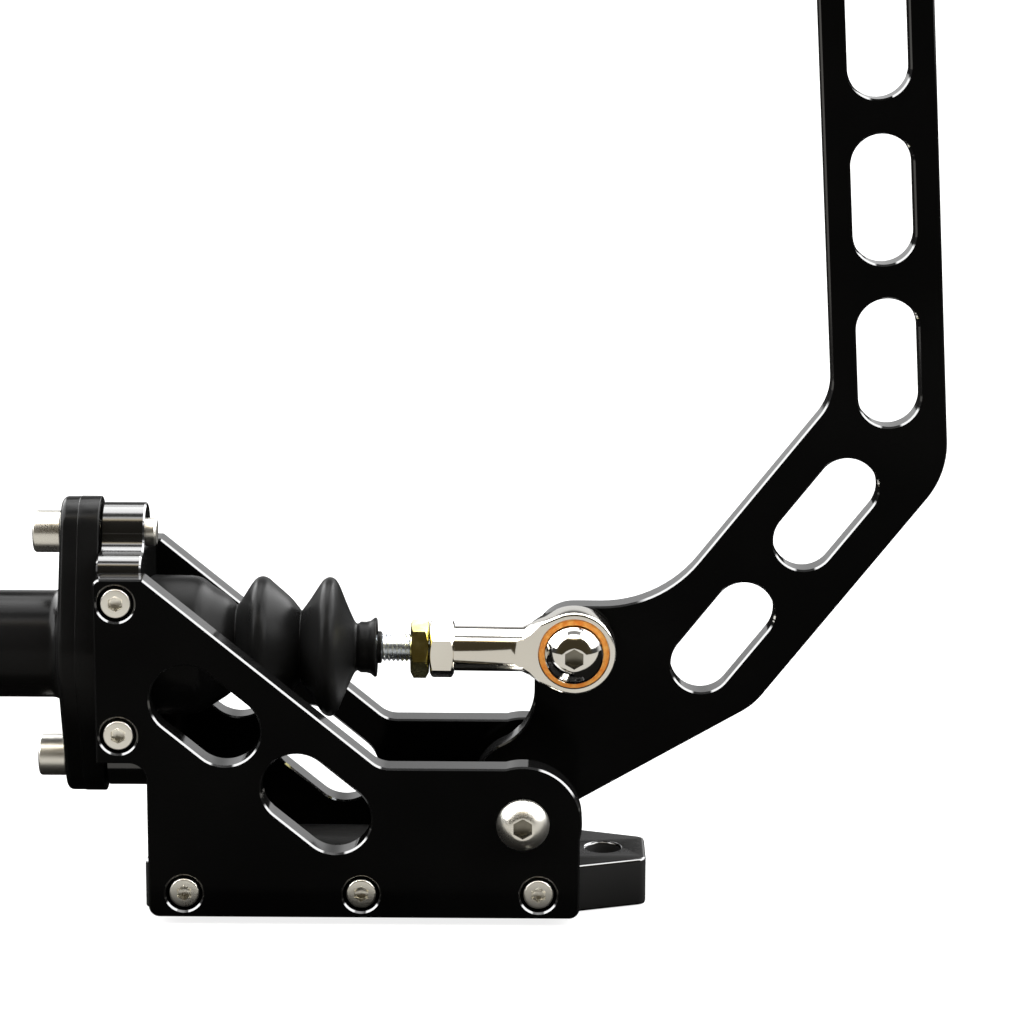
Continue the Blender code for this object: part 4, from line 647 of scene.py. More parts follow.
def lever_line():
    pivot, eye = (0.0, PIVOT_Z), (EYE_X, EYE_Z)
    hub_r, eye_r, heel_r, offset = 14.3 * MM, 11.2 * MM, 16.0 * MM, 11.4 * MM
    lower = polar(pivot, offset, LOWER_ANGLE - 90)
    slant_low = beside(SLANT_MID, SLANT_ANGLE, -SLANT_W / 2)
    slant_high = beside(SLANT_MID, SLANT_ANGLE, SLANT_W / 2)
    upper_out = beside(UPPER_MID, UPPER_ANGLE, -UPPER_W / 2)
    upper_in = beside(UPPER_MID, UPPER_ANGLE, UPPER_W / 2)
    eye_top = (EYE_X, EYE_Z + eye_r)
    knee = meet(lower, LOWER_ANGLE, slant_low, SLANT_ANGLE)
    bend_out = meet(slant_low, SLANT_ANGLE, upper_out, UPPER_ANGLE)
    bend_in = meet(slant_high, SLANT_ANGLE, upper_in, UPPER_ANGLE)
    throat = meet(eye_top, 0.0, slant_high, SLANT_ANGLE)
    shoulders = [up_lever(side * UPPER_W / 2, SHOULDER_SHIFT) for side in (1, -1)]
    roots = [up_lever(side * TANG_W / 2, SHOULDER_SHIFT) for side in (1, -1)]
    tops = [up_lever(side * TANG_W / 2, SHOULDER_SHIFT + TANG_LEN) for side in (1, -1)]
    chord = math.degrees(math.acos(offset / hub_r))
    heel_x = EYE_X - eye_r - heel_r
    heel_z = PIVOT_Z + math.sqrt((hub_r + heel_r) ** 2 - heel_x**2)
    heel_way = math.degrees(math.atan2(heel_z - PIVOT_Z, heel_x))
    points = fillet(lower, knee, bend_out, 20.0 * MM)
    points += fillet(knee, bend_out, shoulders[0], 25.0 * MM)
    points += fillet(bend_out, shoulders[0], roots[0], 7.0 * MM) + [roots[0]]
    points += fillet(roots[0], tops[0], tops[1], 2.0 * MM) + fillet(tops[0], tops[1], roots[1], 2.0 * MM)
    points += [roots[1]] + fillet(roots[1], shoulders[1], bend_in, 7.0 * MM)
    points += fillet(shoulders[1], bend_in, throat, 16.0 * MM)
    points += fillet(bend_in, throat, eye_top, 35.0 * MM)
    points += arc(eye, eye_r, 90, 180) + arc((heel_x, heel_z), heel_r, 0, heel_way - 180)
    points += arc(pivot, hub_r, heel_way, LOWER_ANGLE + 270 - chord)[1:]
    return points


def lever_holes():
    holes = []
    for i in range(2):
        shift = 15.2 * MM - i * SLOT_PITCH
        ends = [polar(SLANT_MID, shift + s * SLOT_HALF, SLANT_ANGLE) for s in (-1, 1)]
        holes.append(slot_line(*ends, SLOT_R))
    for i in range(3):
        shift = -44.5 * MM + i * SLOT_PITCH
        holes.append(slot_line(*[up_lever(0.0, shift + s * SLOT_HALF) for s in (-1, 1)], SLOT_R))
    holes += [circle((0.0, PIVOT_Z), 7.6 * MM), circle((EYE_X, EYE_Z), M8_WAY_R)]
    holes += [circle(up_lever(0.0, SHOULDER_SHIFT + FIT + h), M5_WAY_R, 32) for h in GRIP_SCREW_AT]
    return holes


lever_mesh = moved(plate(lever_line(), lever_holes(), LEVER_T, PLATE_EDGE), at(y=LEVER_MID_Y) @ TO_XZ)
mark_edges(lever_mesh, ACROSS)
lever_looks = (ANODISED, EDGE_BLACK, WALL_BLACK)
piece("lever_plate", lever_mesh, lever_looks, "lever", "black_anodised", "lever_plate")

# %% [markdown]
# The base bar is thicker than the side plates and stands 2 mm below them, so it alone meets the
# floor. Its foot narrows to a blunt tip around the mounting hole. The front block is a rectangle
# as wide as the gap. Two lobes for the flange screws flare out of it above and below.

# %% Base bar and front block
BAR_T, BAR_HALF, BLOCK_T = 14.0 * MM, 20.7 * MM, 12.5 * MM
FLANGE_SCREW_RISE, FLANGE_SCREW_R, SPIGOT_R = 33.0 * MM, 3.97 * MM, 14.0 * MM


def base_bar():
    corners = [(35.4, 10.2, 3.0), (17.0, 16.7, 0), (8.5, 20.7, 0), (-101.8, 20.7, 0), (-107.8, 14.7, 0)]
    upper = [tuple(v * MM for v in corner) for corner in corners]
    lower = [(x, -y, radius) for x, y, radius in reversed(upper)]
    flat = moved(plate(rounded(upper + lower), [], BAR_T, 0.8 * MM, 1), at(z=BAR_T / 2))
    hole_r, rim, past = 5.0 * MM, 0.6 * MM, 2.0 * MM
    profile = [(0, BAR_T + past), (hole_r + rim, BAR_T + past), (hole_r + rim, BAR_T)]
    hole = turned(profile + [(hole_r, BAR_T - rim), (hole_r, -past), (0, -past)], 64)
    mesh = carved(flat, ("DIFFERENCE", copies(hole, [at(x=x) for x in (23.2 * MM, -70.5 * MM)])))
    mark_edges(mesh, UP)
    looks = (BAR_BLACK, EDGE_BLACK, BAR_BLACK)
    piece("base_bar", mesh, looks, "base", "black_anodised", "base_bar", smooth=50.0)


def lobe_side(root):
    """Right half of one lobe, from its flared root to its top."""
    lobe_r, flare_r, lean = 8.5 * MM, 5.0 * MM, 4.0
    tip = arc((0.0, FLANGE_SCREW_RISE), lobe_r, lean, 90)
    slope = math.radians(lean)
    flare_y = tip[0][0] + (tip[0][1] - root - flare_r * (1 - math.sin(slope))) * math.tan(slope)
    centre = (flare_y + flare_r * math.cos(slope), root + flare_r)
    return [(centre[0], root - flare_r)] + arc(centre, flare_r, 270, 180 + lean) + tip


def front_block():
    top, foot, sunk, top_r, foot_r = (v * MM for v in (30.0, -27.0, 0.2, 5.0, 1.5))
    place = at((BLOCK_BACK_X + BLOCK_FRONT_X) / 2, 0.0, ROD_Z) @ TO_YZ
    ends = [(1, foot, foot_r), (1, top, top_r), (-1, top, top_r), (-1, foot, foot_r)]
    body = moved(plate(rounded([(s * BAR_HALF, z, r) for s, z, r in ends]), [], BLOCK_T, 0.5 * MM), place)
    half = [(y, -z) for y, z in reversed(lobe_side(-foot - sunk))] + lobe_side(top - sunk)
    lobe_line = half + [(-y, z) for y, z in reversed(half[1:-1])]
    lobes = moved(plate(lobe_line, [], BLOCK_T - 0.2 * MM, 0.5 * MM), place)
    through = 20.0 * MM
    holes = [bar(SPIGOT_R + FIT, through, 96)]
    for side in (-1, 1):
        holes.append(moved(bar(FLANGE_SCREW_R + FIT, through, 48), at(y=side * FLANGE_SCREW_RISE)))
    mesh = carved(body, ("UNION", lobes), ("DIFFERENCE", moved(gathered(holes), place)))
    mark_edges(mesh, ALONG)
    looks = (WALL_BLACK, EDGE_BLACK, WALL_BLACK)
    piece("front_block", mesh, looks, "base", "black_anodised", "front_block")


base_bar()
front_block()

# %% [markdown]
# The master cylinder is one casting: a turned body with a two-bolt flange shaped like a rounded
# diamond, and a boss for the fluid inlet. The flange's free edge is soft, as a casting's is. The
# half against the block is cut crisp and stands a little proud, which leaves a fine line.

# %% Master cylinder
FLANGE_T = 11.2 * MM
FLANGE_BACK_X = BLOCK_FRONT_X - FIT
FLANGE_FRONT_X = FLANGE_BACK_X - FLANGE_T
BODY_END_X = FLANGE_FRONT_X - 58.0 * MM
SPIGOT_END_X = BLOCK_BACK_X + 10.0 * MM
INLET_X, INLET_TOP_Z, INLET_FLOOR_Z = FLANGE_FRONT_X - 30.0 * MM, ROD_Z + 20.5 * MM, ROD_Z + 11.3 * MM


def flange_line(inset):
    mid_r, end_r = 22.0 * MM - inset, 10.2 * MM - inset
    tilt = math.degrees(math.asin((mid_r - end_r) / FLANGE_SCREW_RISE))
    line = arc((0, 0), mid_r, -tilt, tilt) + arc((0, FLANGE_SCREW_RISE), end_r, tilt, 180 - tilt)
    line += arc((0, 0), mid_r, 180 - tilt, 180 + tilt)
    return line + arc((0, -FLANGE_SCREW_RISE), end_r, 180 + tilt, 360 - tilt)


def master_cylinder():
    body_r, neck_r, boss_r, outlet_r = (v * MM for v in (15.3, 3.5, 9.0, 4.5))
    bore_r, mouth_r, mouth_x, way_r, rim = (v * MM for v in (9.5, 11.5, -101.5, 1.6, 0.6))
    boss_end, bore_end = BODY_END_X - 6.0 * MM, BODY_END_X + 12.0 * MM
    profile = [(mouth_r, SPIGOT_END_X), (SPIGOT_R - rim, SPIGOT_END_X), (SPIGOT_R, SPIGOT_END_X - rim)]
    profile += [(SPIGOT_R, FLANGE_BACK_X), (body_r + neck_r, FLANGE_BACK_X - FLANGE_T / 2)]
    profile += arc((body_r + neck_r, FLANGE_FRONT_X - neck_r), neck_r, 90, 180, 10)
    profile += arc((body_r - 2 * MM, BODY_END_X + 2 * MM), 2 * MM, 0, -90, 15)
    profile += [(boss_r, BODY_END_X)] + arc((boss_r - MM, boss_end + MM), MM, 0, -90, 20)
    profile += [(outlet_r + 0.8 * MM, boss_end), (outlet_r, boss_end + 0.8 * MM)]
    profile += [(outlet_r, boss_end + 11 * MM), (way_r, boss_end + 13.9 * MM), (way_r, bore_end)]
    profile += [(bore_r, bore_end), (bore_r, mouth_x), (mouth_r, mouth_x)]
    body = moved(turned(profile, 96, ring=True), at(z=ROD_Z) @ ALONG_X)
    soft_t, crisp_t = FLANGE_T - FIT, 0.56 * FLANGE_T
    soft = moved(plate(flange_line(0.12 * MM), [circle((0, 0), 13 * MM)], soft_t, 1.8 * MM, 4),
                 at(FLANGE_FRONT_X + soft_t / 2, 0, ROD_Z) @ TO_YZ)
    crisp = moved(plate(flange_line(0.0), [circle((0, 0), 12.6 * MM)], crisp_t, 0.5 * MM, 2),
                  at(FLANGE_BACK_X - crisp_t / 2, 0, ROD_Z) @ TO_YZ)
    drill = bar(FLANGE_SCREW_R + FIT, 3 * FLANGE_T, 48)
    bolt_x = (FLANGE_BACK_X + FLANGE_FRONT_X) / 2
    bolt_ways = copies(drill, [at(bolt_x, 0, ROD_Z + s * FLANGE_SCREW_RISE) @ ALONG_X for s in (-1, 1)])
    low = ROD_Z + 10.5 * MM
    boss = moved(bar(9 * MM, INLET_TOP_Z - low), at(INLET_X, 0, (INLET_TOP_Z + low) / 2))
    way = moved(bar(5.6 * MM, 0.02), at(INLET_X, 0, INLET_FLOOR_Z + 0.01))
    mesh = carved(carved(body, ("UNION", soft), ("UNION", crisp)), ("UNION", boss))
    mesh = carved(mesh, ("DIFFERENCE", way), ("DIFFERENCE", bolt_ways))
    piece("master_cylinder_body", mesh, (CAST,), "base", "black_cast", "master_cylinder_body", smooth=40.0)


master_cylinder()

# %% [markdown]
# Screws repeat, so a Geometry Nodes tree places them: it takes one modelled screw and puts it on
# every vertex of a small mesh that holds only the screws' places. The turn of the screw is an
# input, so the same tree serves the near side, the far side, the flange and the grip.


# %% The screw-row tree
def socket_named(tree, name):
    return next(item.identifier for item in tree.interface.items_tree if item.name == name)


def make_tree(name, inputs):
    """An empty geometry tree with named inputs: name to (socket type, default)."""
    tree = bpy.data.node_groups.new(name, "GeometryNodeTree")
    tree.interface.new_socket("Geometry", in_out="INPUT", socket_type="NodeSocketGeometry")
    for label, (kind, default) in inputs.items():
        made = tree.interface.new_socket(label, in_out="INPUT", socket_type=kind)
        if default is not None:
            made.default_value = default
    tree.interface.new_socket("Geometry", in_out="OUTPUT", socket_type="NodeSocketGeometry")
    return tree, tree.nodes.new("NodeGroupInput"), tree.nodes.new("NodeGroupOutput")


def close_tree(tree, source, start, end):
    """Every tree ends the same way: instances made real, then the material."""
    real = tree.nodes.new("GeometryNodeRealizeInstances")
    paint = tree.nodes.new("GeometryNodeSetMaterial")
    link(tree, source, real.inputs[0])
    link(tree, real.outputs[0], paint.inputs["Geometry"])
    link(tree, start.outputs["Material"], paint.inputs["Material"])
    link(tree, paint.outputs[0], end.inputs[0])


def grown(mesh, tree, **values):
    """The plain mesh that a tree makes from a start mesh, with its inputs set by identifier."""
    obj = scratch("host", mesh)
    step = obj.modifiers.new("tree", "NODES")
    step.node_group = tree
    for label, value in values.items():
        step[socket_named(tree, label.replace("_", " "))] = value
    return baked(obj)


def screw_row_tree():
    tree, start, end = make_tree(
        "screw_row",
        {"Screw": ("NodeSocketObject", None), "Turn": ("NodeSocketVector", None),
         "Material": ("NodeSocketMaterial", None)},
    )
    info = tree.nodes.new("GeometryNodeObjectInfo")
    spots = tree.nodes.new("GeometryNodeInstanceOnPoints")
    turn = tree.nodes.new("FunctionNodeEulerToRotation")
    link(tree, start.outputs["Screw"], info.inputs["Object"])
    link(tree, start.outputs["Geometry"], spots.inputs["Points"])
    link(tree, info.outputs["Geometry"], spots.inputs["Instance"])
    link(tree, start.outputs["Turn"], turn.inputs[0])
    link(tree, turn.outputs[0], spots.inputs["Rotation"])
    close_tree(tree, spots.outputs[0], start, end)
    return tree


SCREW_ROW = screw_row_tree()

# %% [markdown]
# A cap screw is a turned head with a rounded rim and a hexagon socket, on a plain shank: its
# thread never shows. The button heads at the pivot and the eye are the arc of a circle.


# %% Screws
def hexagon(across_flats, length):
    return bar(across_flats / math.sqrt(3), length, 6)


def socket_tool(across_flats, depth, top):
    """The socket: a hexagon with a drilled cone at its floor."""
    six = moved(hexagon(across_flats, 2 * depth), at(z=top))
    r = across_flats * 0.48
    cone = turned([(0, top), (r, top), (r, top - depth - 0.01 * MM), (0, top - depth - 0.5 * r)], 48)
    return six, cone


def paint_socket_shade(mesh, across_flats, top):
    """Faces inside the socket take the second material, a darker metal that is painted shade in the recess.
    """
    reach = across_flats / math.sqrt(3) * 1.02
    for face in mesh.polygons:
        c = face.center
        inside = math.hypot(c.x, c.y) < reach and c.z < top - 0.05 * MM
        face.material_index = 1 if inside and c.z > 0 else 0


def cap_screw(head_r, head_h, shank_r, length, across_flats):
    rim = 0.14 * head_r
    profile = [(0, head_h)] + list(reversed(arc((head_r - rim, head_h - rim), rim, 0, 90, 15)))
    profile += [(head_r, 0.3 * MM), (head_r - 0.3 * MM, 0), (shank_r, 0), (shank_r, 0.6 * MM - length)]
    profile += [(shank_r - 0.6 * MM, -length), (0, -length)]
    six, cone = socket_tool(across_flats, 0.5 * head_h, head_h)
    mesh = carved(turned(profile, 48), ("DIFFERENCE", six), ("DIFFERENCE", cone))
    paint_socket_shade(mesh, across_flats, head_h)
    return mesh


def button_screw(length, head_r):
    head_h, shank_r, across_flats = 4.4 * MM, M8_R, 5.2 * MM
    rim, top_r = 0.5 * MM, 3.3 * MM
    rise = head_h - rim
    down = (head_r**2 - top_r**2 - rise**2) / (2 * rise)
    dome_r = math.hypot(top_r, rise + down)
    dome = [(top_r + (head_r - top_r) * i / 12) for i in range(13)]
    profile = [(0, head_h)]
    profile += [(r, head_h - rise - down + math.sqrt(max(dome_r**2 - r**2, 0))) for r in dome]
    profile += [(head_r, 0), (shank_r, 0), (shank_r, 0.6 * MM - length)]
    profile += [(shank_r - 0.6 * MM, -length), (0, -length)]
    six, cone = socket_tool(across_flats, 0.55 * head_h, head_h)
    mesh = carved(turned(profile, 96), ("DIFFERENCE", six), ("DIFFERENCE", cone))
    paint_socket_shade(mesh, across_flats, head_h)
    return mesh


def screw_row(name, screw_mesh, spots, turn, body, slot, nodes):
    screw_obj = scratch("one_screw", screw_mesh)
    points = bpy.data.meshes.new("spots")
    points.from_pydata(spots, [], [])
    mesh = grown(points, SCREW_ROW, Screw=screw_obj, Turn=turn, Material=STAINLESS)
    bpy.data.objects.remove(screw_obj, do_unlink=True)
    piece(name, mesh, (STAINLESS,), body, slot, *nodes)


side_screw = cap_screw(HEAD_R, HEAD_H, M5_R, 16.0 * MM, 4.0 * MM)
for label, side in (("near", -1), ("far", 1)):
    under = side * (PLATE_OUT - HEAD_SINK - HEAD_H)
    screw_row(
        f"side_screws_{label}",
        side_screw.copy(),
        [(x, under, z) for x, z in SCREW_SPOTS],
        (-side * math.pi / 2, 0.0, 0.0),
        "base",
        "stainless",
        [f"side_screw_{label}_{i}" for i in range(1, 6)],
    )
screw_row(
    "flange_screws",
    cap_screw(6.0 * MM, 7.9 * MM, FLANGE_SCREW_R, 26.9 * MM, 6.35 * MM),
    [(FLANGE_FRONT_X - FIT, 0.0, ROD_Z + s * FLANGE_SCREW_RISE) for s in (-1, 1)],
    (0.0, -math.pi / 2, 0.0),
    "base",
    "stainless",
    ["flange_screw_1", "flange_screw_2"],
)

# %% [markdown]
# A nut is a hexagon cut back by a turned shape, which leaves the curved lines where its corners
# meet the ends. The rod end's hexagon is made the same way.


# %% Nuts and bolts
def nut(across_flats, thickness, hole_r, relief=0.47):
    corner, flat, half = across_flats / math.sqrt(3) * 1.01, across_flats * relief, thickness / 2
    drop = (corner - flat) * math.tan(math.radians(28))
    upper = [(0, half), (flat, half), (corner, half - drop)]
    limit = turned(upper + [(r, -z) for r, z in reversed(upper)])
    hole = bar(hole_r, 2 * thickness, 48)
    return carved(hexagon(across_flats, thickness), ("INTERSECT", limit), ("DIFFERENCE", hole))


TUBE_R, WASHER_R, WASHER_T = 7.3 * MM, 8.0 * MM, 1.6 * MM
PIVOT_HEAD_Y = -PLATE_OUT - FIT
PIVOT_NUT_Y = PLATE_OUT + 2 * FIT + WASHER_T
EYE_HEAD_Y = -6.0 * MM - FIT
EYE_NUT_Y = LEVER_Y + LEVER_T + FIT


def bolts_and_nuts():
    across, lock_t, eye_nut_t = 13.0 * MM, 8.0 * MM, 6.5 * MM
    pivot = button_screw(PIVOT_NUT_Y + lock_t + 2.0 * MM - PIVOT_HEAD_Y, 7.5 * MM)
    moved(pivot, at(0, PIVOT_HEAD_Y, PIVOT_Z) @ TO_NEAR)
    piece("pivot_bolt", pivot, (STAINLESS, SOCKET_PAINTED_SHADE), "base", "stainless", "pivot_bolt")
    lock = moved(nut(across, lock_t, M8_WAY_R), at(0, PIVOT_NUT_Y + lock_t / 2, PIVOT_Z) @ ALONG_Y)
    piece("pivot_nut", lock, (STAINLESS,), "base", "stainless", "pivot_nut")
    eye = button_screw(EYE_NUT_Y + eye_nut_t + 2.0 * MM - EYE_HEAD_Y, 8.3 * MM)
    moved(eye, at(EYE_X, EYE_HEAD_Y, EYE_Z) @ TO_NEAR)
    piece("eye_bolt", eye, (NICKEL, SOCKET_PAINTED_SHADE), "lever", "nickel_plate", "eye_bolt")
    back = nut(across, eye_nut_t, M8_WAY_R)
    moved(back, at(EYE_X, EYE_NUT_Y + eye_nut_t / 2, EYE_Z) @ ALONG_Y)
    piece("eye_nut", back, (STAINLESS,), "lever", "stainless", "eye_nut")


def tube(name, outer, low, high, look, body, slot):
    """A chamfered ring on the pivot bolt, from low to high across the object."""
    inner, edge = M8_WAY_R, 0.3 * MM
    profile = [(inner, high), (outer - edge, high), (outer, high - edge), (outer, low + edge)]
    mesh = turned(profile + [(outer - edge, low), (inner, low)], 64, ring=True)
    piece(name, moved(mesh, at(z=PIVOT_Z) @ ALONG_Y), (look,), body, slot, name)


bolts_and_nuts()
tube("pivot_spacer_near", TUBE_R, FIT - PLATE_IN, LEVER_Y - FIT, STAINLESS, "base", "stainless")
tube("pivot_spacer_far", TUBE_R, LEVER_Y + LEVER_T + FIT, PLATE_IN - FIT, STAINLESS, "base", "stainless")
tube("pivot_bush", TUBE_R, LEVER_Y, LEVER_Y + LEVER_T, BRONZE, "lever", "bronze")
tube("pivot_washer", WASHER_R, PLATE_OUT + FIT, PIVOT_NUT_Y - FIT, STAINLESS, "base", "stainless")

# %% [markdown]
# The rod's thread is real geometry. A thread follows a rule, so a Geometry Nodes tree makes it: a
# grid is rolled into a tube, and the radius of each point depends on how far its place along the
# rod is ahead of its turn. Rolling a grid keeps every edge in line with the thread's start.


# %% The thread tree
def rolled_grid(tree, start, radius_of):
    """A grid rolled about X: X stays, Y becomes the angle; radius_of gives the radius socket."""
    grid = tree.nodes.new("GeometryNodeMeshGrid")
    link(tree, start.outputs["Length"], grid.inputs["Size X"])
    grid.inputs["Size Y"].default_value = math.tau
    link(tree, start.outputs["Steps Along"], grid.inputs["Vertices X"])
    link(tree, start.outputs["Steps Around"], grid.inputs["Vertices Y"])
    place = tree.nodes.new("GeometryNodeInputPosition")
    parts = tree.nodes.new("ShaderNodeSeparateXYZ")
    link(tree, place.outputs[0], parts.inputs[0])
    x, angle = parts.outputs["X"], parts.outputs["Y"]
    radius = radius_of(x, angle)
    rolled = tree.nodes.new("ShaderNodeCombineXYZ")
    link(tree, x, rolled.inputs["X"])
    link(tree, compute(tree, "MULTIPLY", radius, compute(tree, "COSINE", angle)), rolled.inputs["Y"])
    link(tree, compute(tree, "MULTIPLY", radius, compute(tree, "SINE", angle)), rolled.inputs["Z"])
    setter = tree.nodes.new("GeometryNodeSetPosition")
    link(tree, grid.outputs["Mesh"], setter.inputs["Geometry"])
    link(tree, rolled.outputs[0], setter.inputs["Position"])
    weld = tree.nodes.new("GeometryNodeMergeByDistance")
    weld.inputs["Distance"].default_value = WELD
    link(tree, setter.outputs[0], weld.inputs["Geometry"])
    return weld.outputs[0]


SURFACE_INPUTS = {
    "Length": ("NodeSocketFloat", 0.01),
    "Radius": ("NodeSocketFloat", 0.004),
    "Depth": ("NodeSocketFloat", 0.0005),
    "Pitch": ("NodeSocketFloat", 0.00125),
    "Steps Along": ("NodeSocketInt", 16),
    "Steps Around": ("NodeSocketInt", 16),
    "Material": ("NodeSocketMaterial", None),
}


def cut_radius(tree, start, wave):
    """The outer radius less the cut: a wave of 0.5 leaves a crest, and 0 cuts the full depth."""
    share = compute(tree, "MULTIPLY", compute(tree, "SUBTRACT", 0.5, wave), 2.0)
    depth = compute(tree, "MULTIPLY", share, start.outputs["Depth"])
    return compute(tree, "SUBTRACT", start.outputs["Radius"], depth)


def thread_tree():
    tree, start, end = make_tree("thread", SURFACE_INPUTS)

    def radius_of(x, angle):
        turns = compute(tree, "SUBTRACT", compute(tree, "DIVIDE", x, start.outputs["Pitch"]),
                        compute(tree, "DIVIDE", angle, math.tau))
        return cut_radius(tree, start, compute(tree, "PINGPONG", turns, 0.5))

    close_tree(tree, rolled_grid(tree, start, radius_of), start, end)
    return tree


def knurl_tree():
    """Diamond knurling: two crossed sets of helical grooves."""
    tree, start, end = make_tree("knurl", SURFACE_INPUTS)

    def radius_of(x, angle):
        along = compute(tree, "DIVIDE", x, start.outputs["Pitch"])
        girth = compute(tree, "MULTIPLY", angle, start.outputs["Radius"])
        around = compute(tree, "DIVIDE", girth, start.outputs["Pitch"])
        waves = []
        for operation in ("ADD", "SUBTRACT"):
            waves.append(compute(tree, "PINGPONG", compute(tree, operation, along, around), 0.5))
        return cut_radius(tree, start, compute(tree, "MINIMUM", *waves))

    close_tree(tree, rolled_grid(tree, start, radius_of), start, end)
    return tree


THREAD, KNURL = thread_tree(), knurl_tree()

# %% [markdown]
# The push rod has a ball at the piston's end, a plain neck and a long thread. Only the stretch
# between the boot and the rod end shows, so only that stretch carries a cut thread, and it joins
# the plain rod at both ends. A thin rubber sleeve on the thread sits close to the boot's lip and
# covers part of the gap in it, which is there because the rod swings a little.

# %% Push rod
HEX_FAR_X, HEX_NEAR_X = EYE_X - 41.1 * MM, EYE_X - 34.2 * MM
ROD_TIP_X, THREAD_START_X, THREAD_END_X = HEX_FAR_X + 18.0 * MM, -60.0 * MM, -20.0 * MM


def push_rod():
    root_r, neck_r, ball_r, pitch = 3.3 * MM, 3.2 * MM, 6.0 * MM, 1.25 * MM
    neck = 180 - math.degrees(math.asin(neck_r / ball_r))
    ball = [polar((0, 0), ball_r, neck * (1 - i / 24)) for i in range(25)]
    core = [(0, ROD_TIP_X), (root_r, ROD_TIP_X), (root_r, THREAD_START_X), (M8_R, THREAD_START_X)]
    core += [(M8_R, -91.0 * MM), (neck_r, -91.8 * MM)] + [(r, BALL_X - x) for x, r in ball]
    solid = moved(turned(core, 64), at(z=ROD_Z) @ ALONG_X)
    length = THREAD_END_X - THREAD_START_X
    host = bpy.data.meshes.new("host")
    thread = grown(host, THREAD, Length=length, Radius=M8_R, Depth=0.68 * MM, Pitch=pitch,
                   Steps_Along=int(length / pitch * 10) + 1, Steps_Around=49, Material=ZINC)
    close_ends(thread)
    use_material(thread, 0)
    moved(thread, at((THREAD_START_X + THREAD_END_X) / 2, 0.0, ROD_Z))
    sleeve = [(4.1, -40.6), (4.3, -40.6), (4.6, -40.9), (4.6, -41.8), (4.1, -41.8)]
    sleeve = moved(turned([(r * MM, x * MM) for r, x in sleeve], 64, True), at(z=ROD_Z) @ ALONG_X)
    use_material(sleeve, 1)
    both = moved(gathered([solid, thread, sleeve]), ROD_LEAN)
    piece("push_rod", both, (ZINC, RUBBER), "rod", "zinc_steel", "push_rod", smooth=40.0)


def close_ends(mesh):
    bm = bmesh.new()
    bm.from_mesh(mesh)
    bmesh.ops.holes_fill(bm, edges=[e for e in bm.edges if e.is_boundary])
    bmesh.ops.recalc_face_normals(bm, faces=bm.faces)
    bm.to_mesh(mesh)
    bm.free()


push_rod()
jam_x = HEX_FAR_X - FIT - 2.6 * MM
jam_place = ROD_LEAN @ at(jam_x, 0, ROD_Z) @ ALONG_X @ Matrix.Rotation(math.radians(13.4), 4, "Z")
jam_mesh = moved(nut(15.0 * MM, 5.2 * MM, M8_WAY_R), jam_place)
piece("jam_nut", jam_mesh, (YELLOW_ZINC,), "rod", "yellow_zinc", "jam_nut")

# %% [markdown]
# The rod end is forged and plated: a flat eye that flares out of a round shank, and a hexagon for
# the spanner. The eye's outline is the shank's end joined to a circle by its tangents. Between
# eye and ball sits a bronze liner: its narrow orange ring and the yellow nut are the only colours.


# %% Rod end
def rod_end_housing():
    """A round shank whose sides are cut flat towards the eye, and an eye whose corners fade into it."""
    neck_x, eye_r, shank_r, half = -14.8 * MM, 12.0 * MM, 6.4 * MM, 5.0 * MM
    lead = math.degrees(math.acos(eye_r / math.hypot(neck_x, shank_r)))
    way = math.degrees(math.atan2(shank_r, neck_x))
    line = arc((0, 0), eye_r, lead - way, way - lead) + [(neck_x, shank_r), (neck_x, -shank_r)]
    eye = moved(plate(line, [], 2 * half, 0.8 * MM, 3), at(EYE_X, 0, ROD_Z) @ TO_XZ)
    fade = [(0, -16.0), (6.4, -16.0), (6.4, -14.8), (7.4, -12.6), (9.4, -10.0), (12.0, -7.4)]
    fade += [(15.0, -5.0), (15.0, 14.0), (0, 14.0)]
    fade = [(r * MM, EYE_X + x * MM) for r, x in reversed(fade)]
    blend = moved(turned(fade, 96), at(z=ROD_Z) @ ALONG_X)
    high, low = EYE_X - 11.5 * MM, HEX_NEAR_X - MM
    shank = turned([(0, high), (shank_r, high), (shank_r, low), (0, low)])
    flats = [(-40.0, 9.0), (-40.0, -9.0), (-19.2, -6.5), (-15.4, -4.96), (0.0, -4.96), (0.0, 4.96)]
    flats += [(-15.4, 4.96), (-19.2, 6.5)]
    sides = moved(plate([(EYE_X + x * MM, y * MM) for x, y in flats], [], 20 * MM), at(z=ROD_Z))
    shank = carved(moved(shank, at(z=ROD_Z) @ ALONG_X), ("INTERSECT", sides))
    six_turn = Matrix.Rotation(math.radians(32), 4, "Z")
    six_place = at((HEX_FAR_X + HEX_NEAR_X) / 2, 0, ROD_Z) @ ALONG_X @ six_turn
    six = moved(nut(15.2 * MM, 6.9 * MM, 3.0 * MM), six_place)
    bore = moved(bar(M8_WAY_R, 38.6 * MM, 48), at(HEX_FAR_X, 0, ROD_Z) @ ALONG_X)
    seat_r, seat_edge, past = 10.05 * MM, 0.25 * MM, half + MM
    wide = seat_r + MM + seat_edge
    seat = [(0, past), (wide, past), (seat_r, half - seat_edge), (seat_r, seat_edge - half)]
    seat += [(wide, -past), (0, -past)]
    seat_mesh = moved(turned(seat, 96), at(EYE_X, 0, ROD_Z) @ ALONG_Y)
    mesh = carved(carved(eye, ("INTERSECT", blend)), ("UNION", shank), ("UNION", six))
    mesh = carved(carved(mesh, ("DIFFERENCE", bore)), ("DIFFERENCE", seat_mesh))
    moved(mesh, ROD_LEAN)
    piece("rod_end_housing", mesh, (SATIN,), "rod", "nickel_plate", "rod_end_housing", smooth=35.0)


def ball_side(radius, half, steps=16):
    high = math.degrees(math.asin(half / radius))
    return [polar((0, 0), radius, high - 2 * high * i / steps) for i in range(steps + 1)]


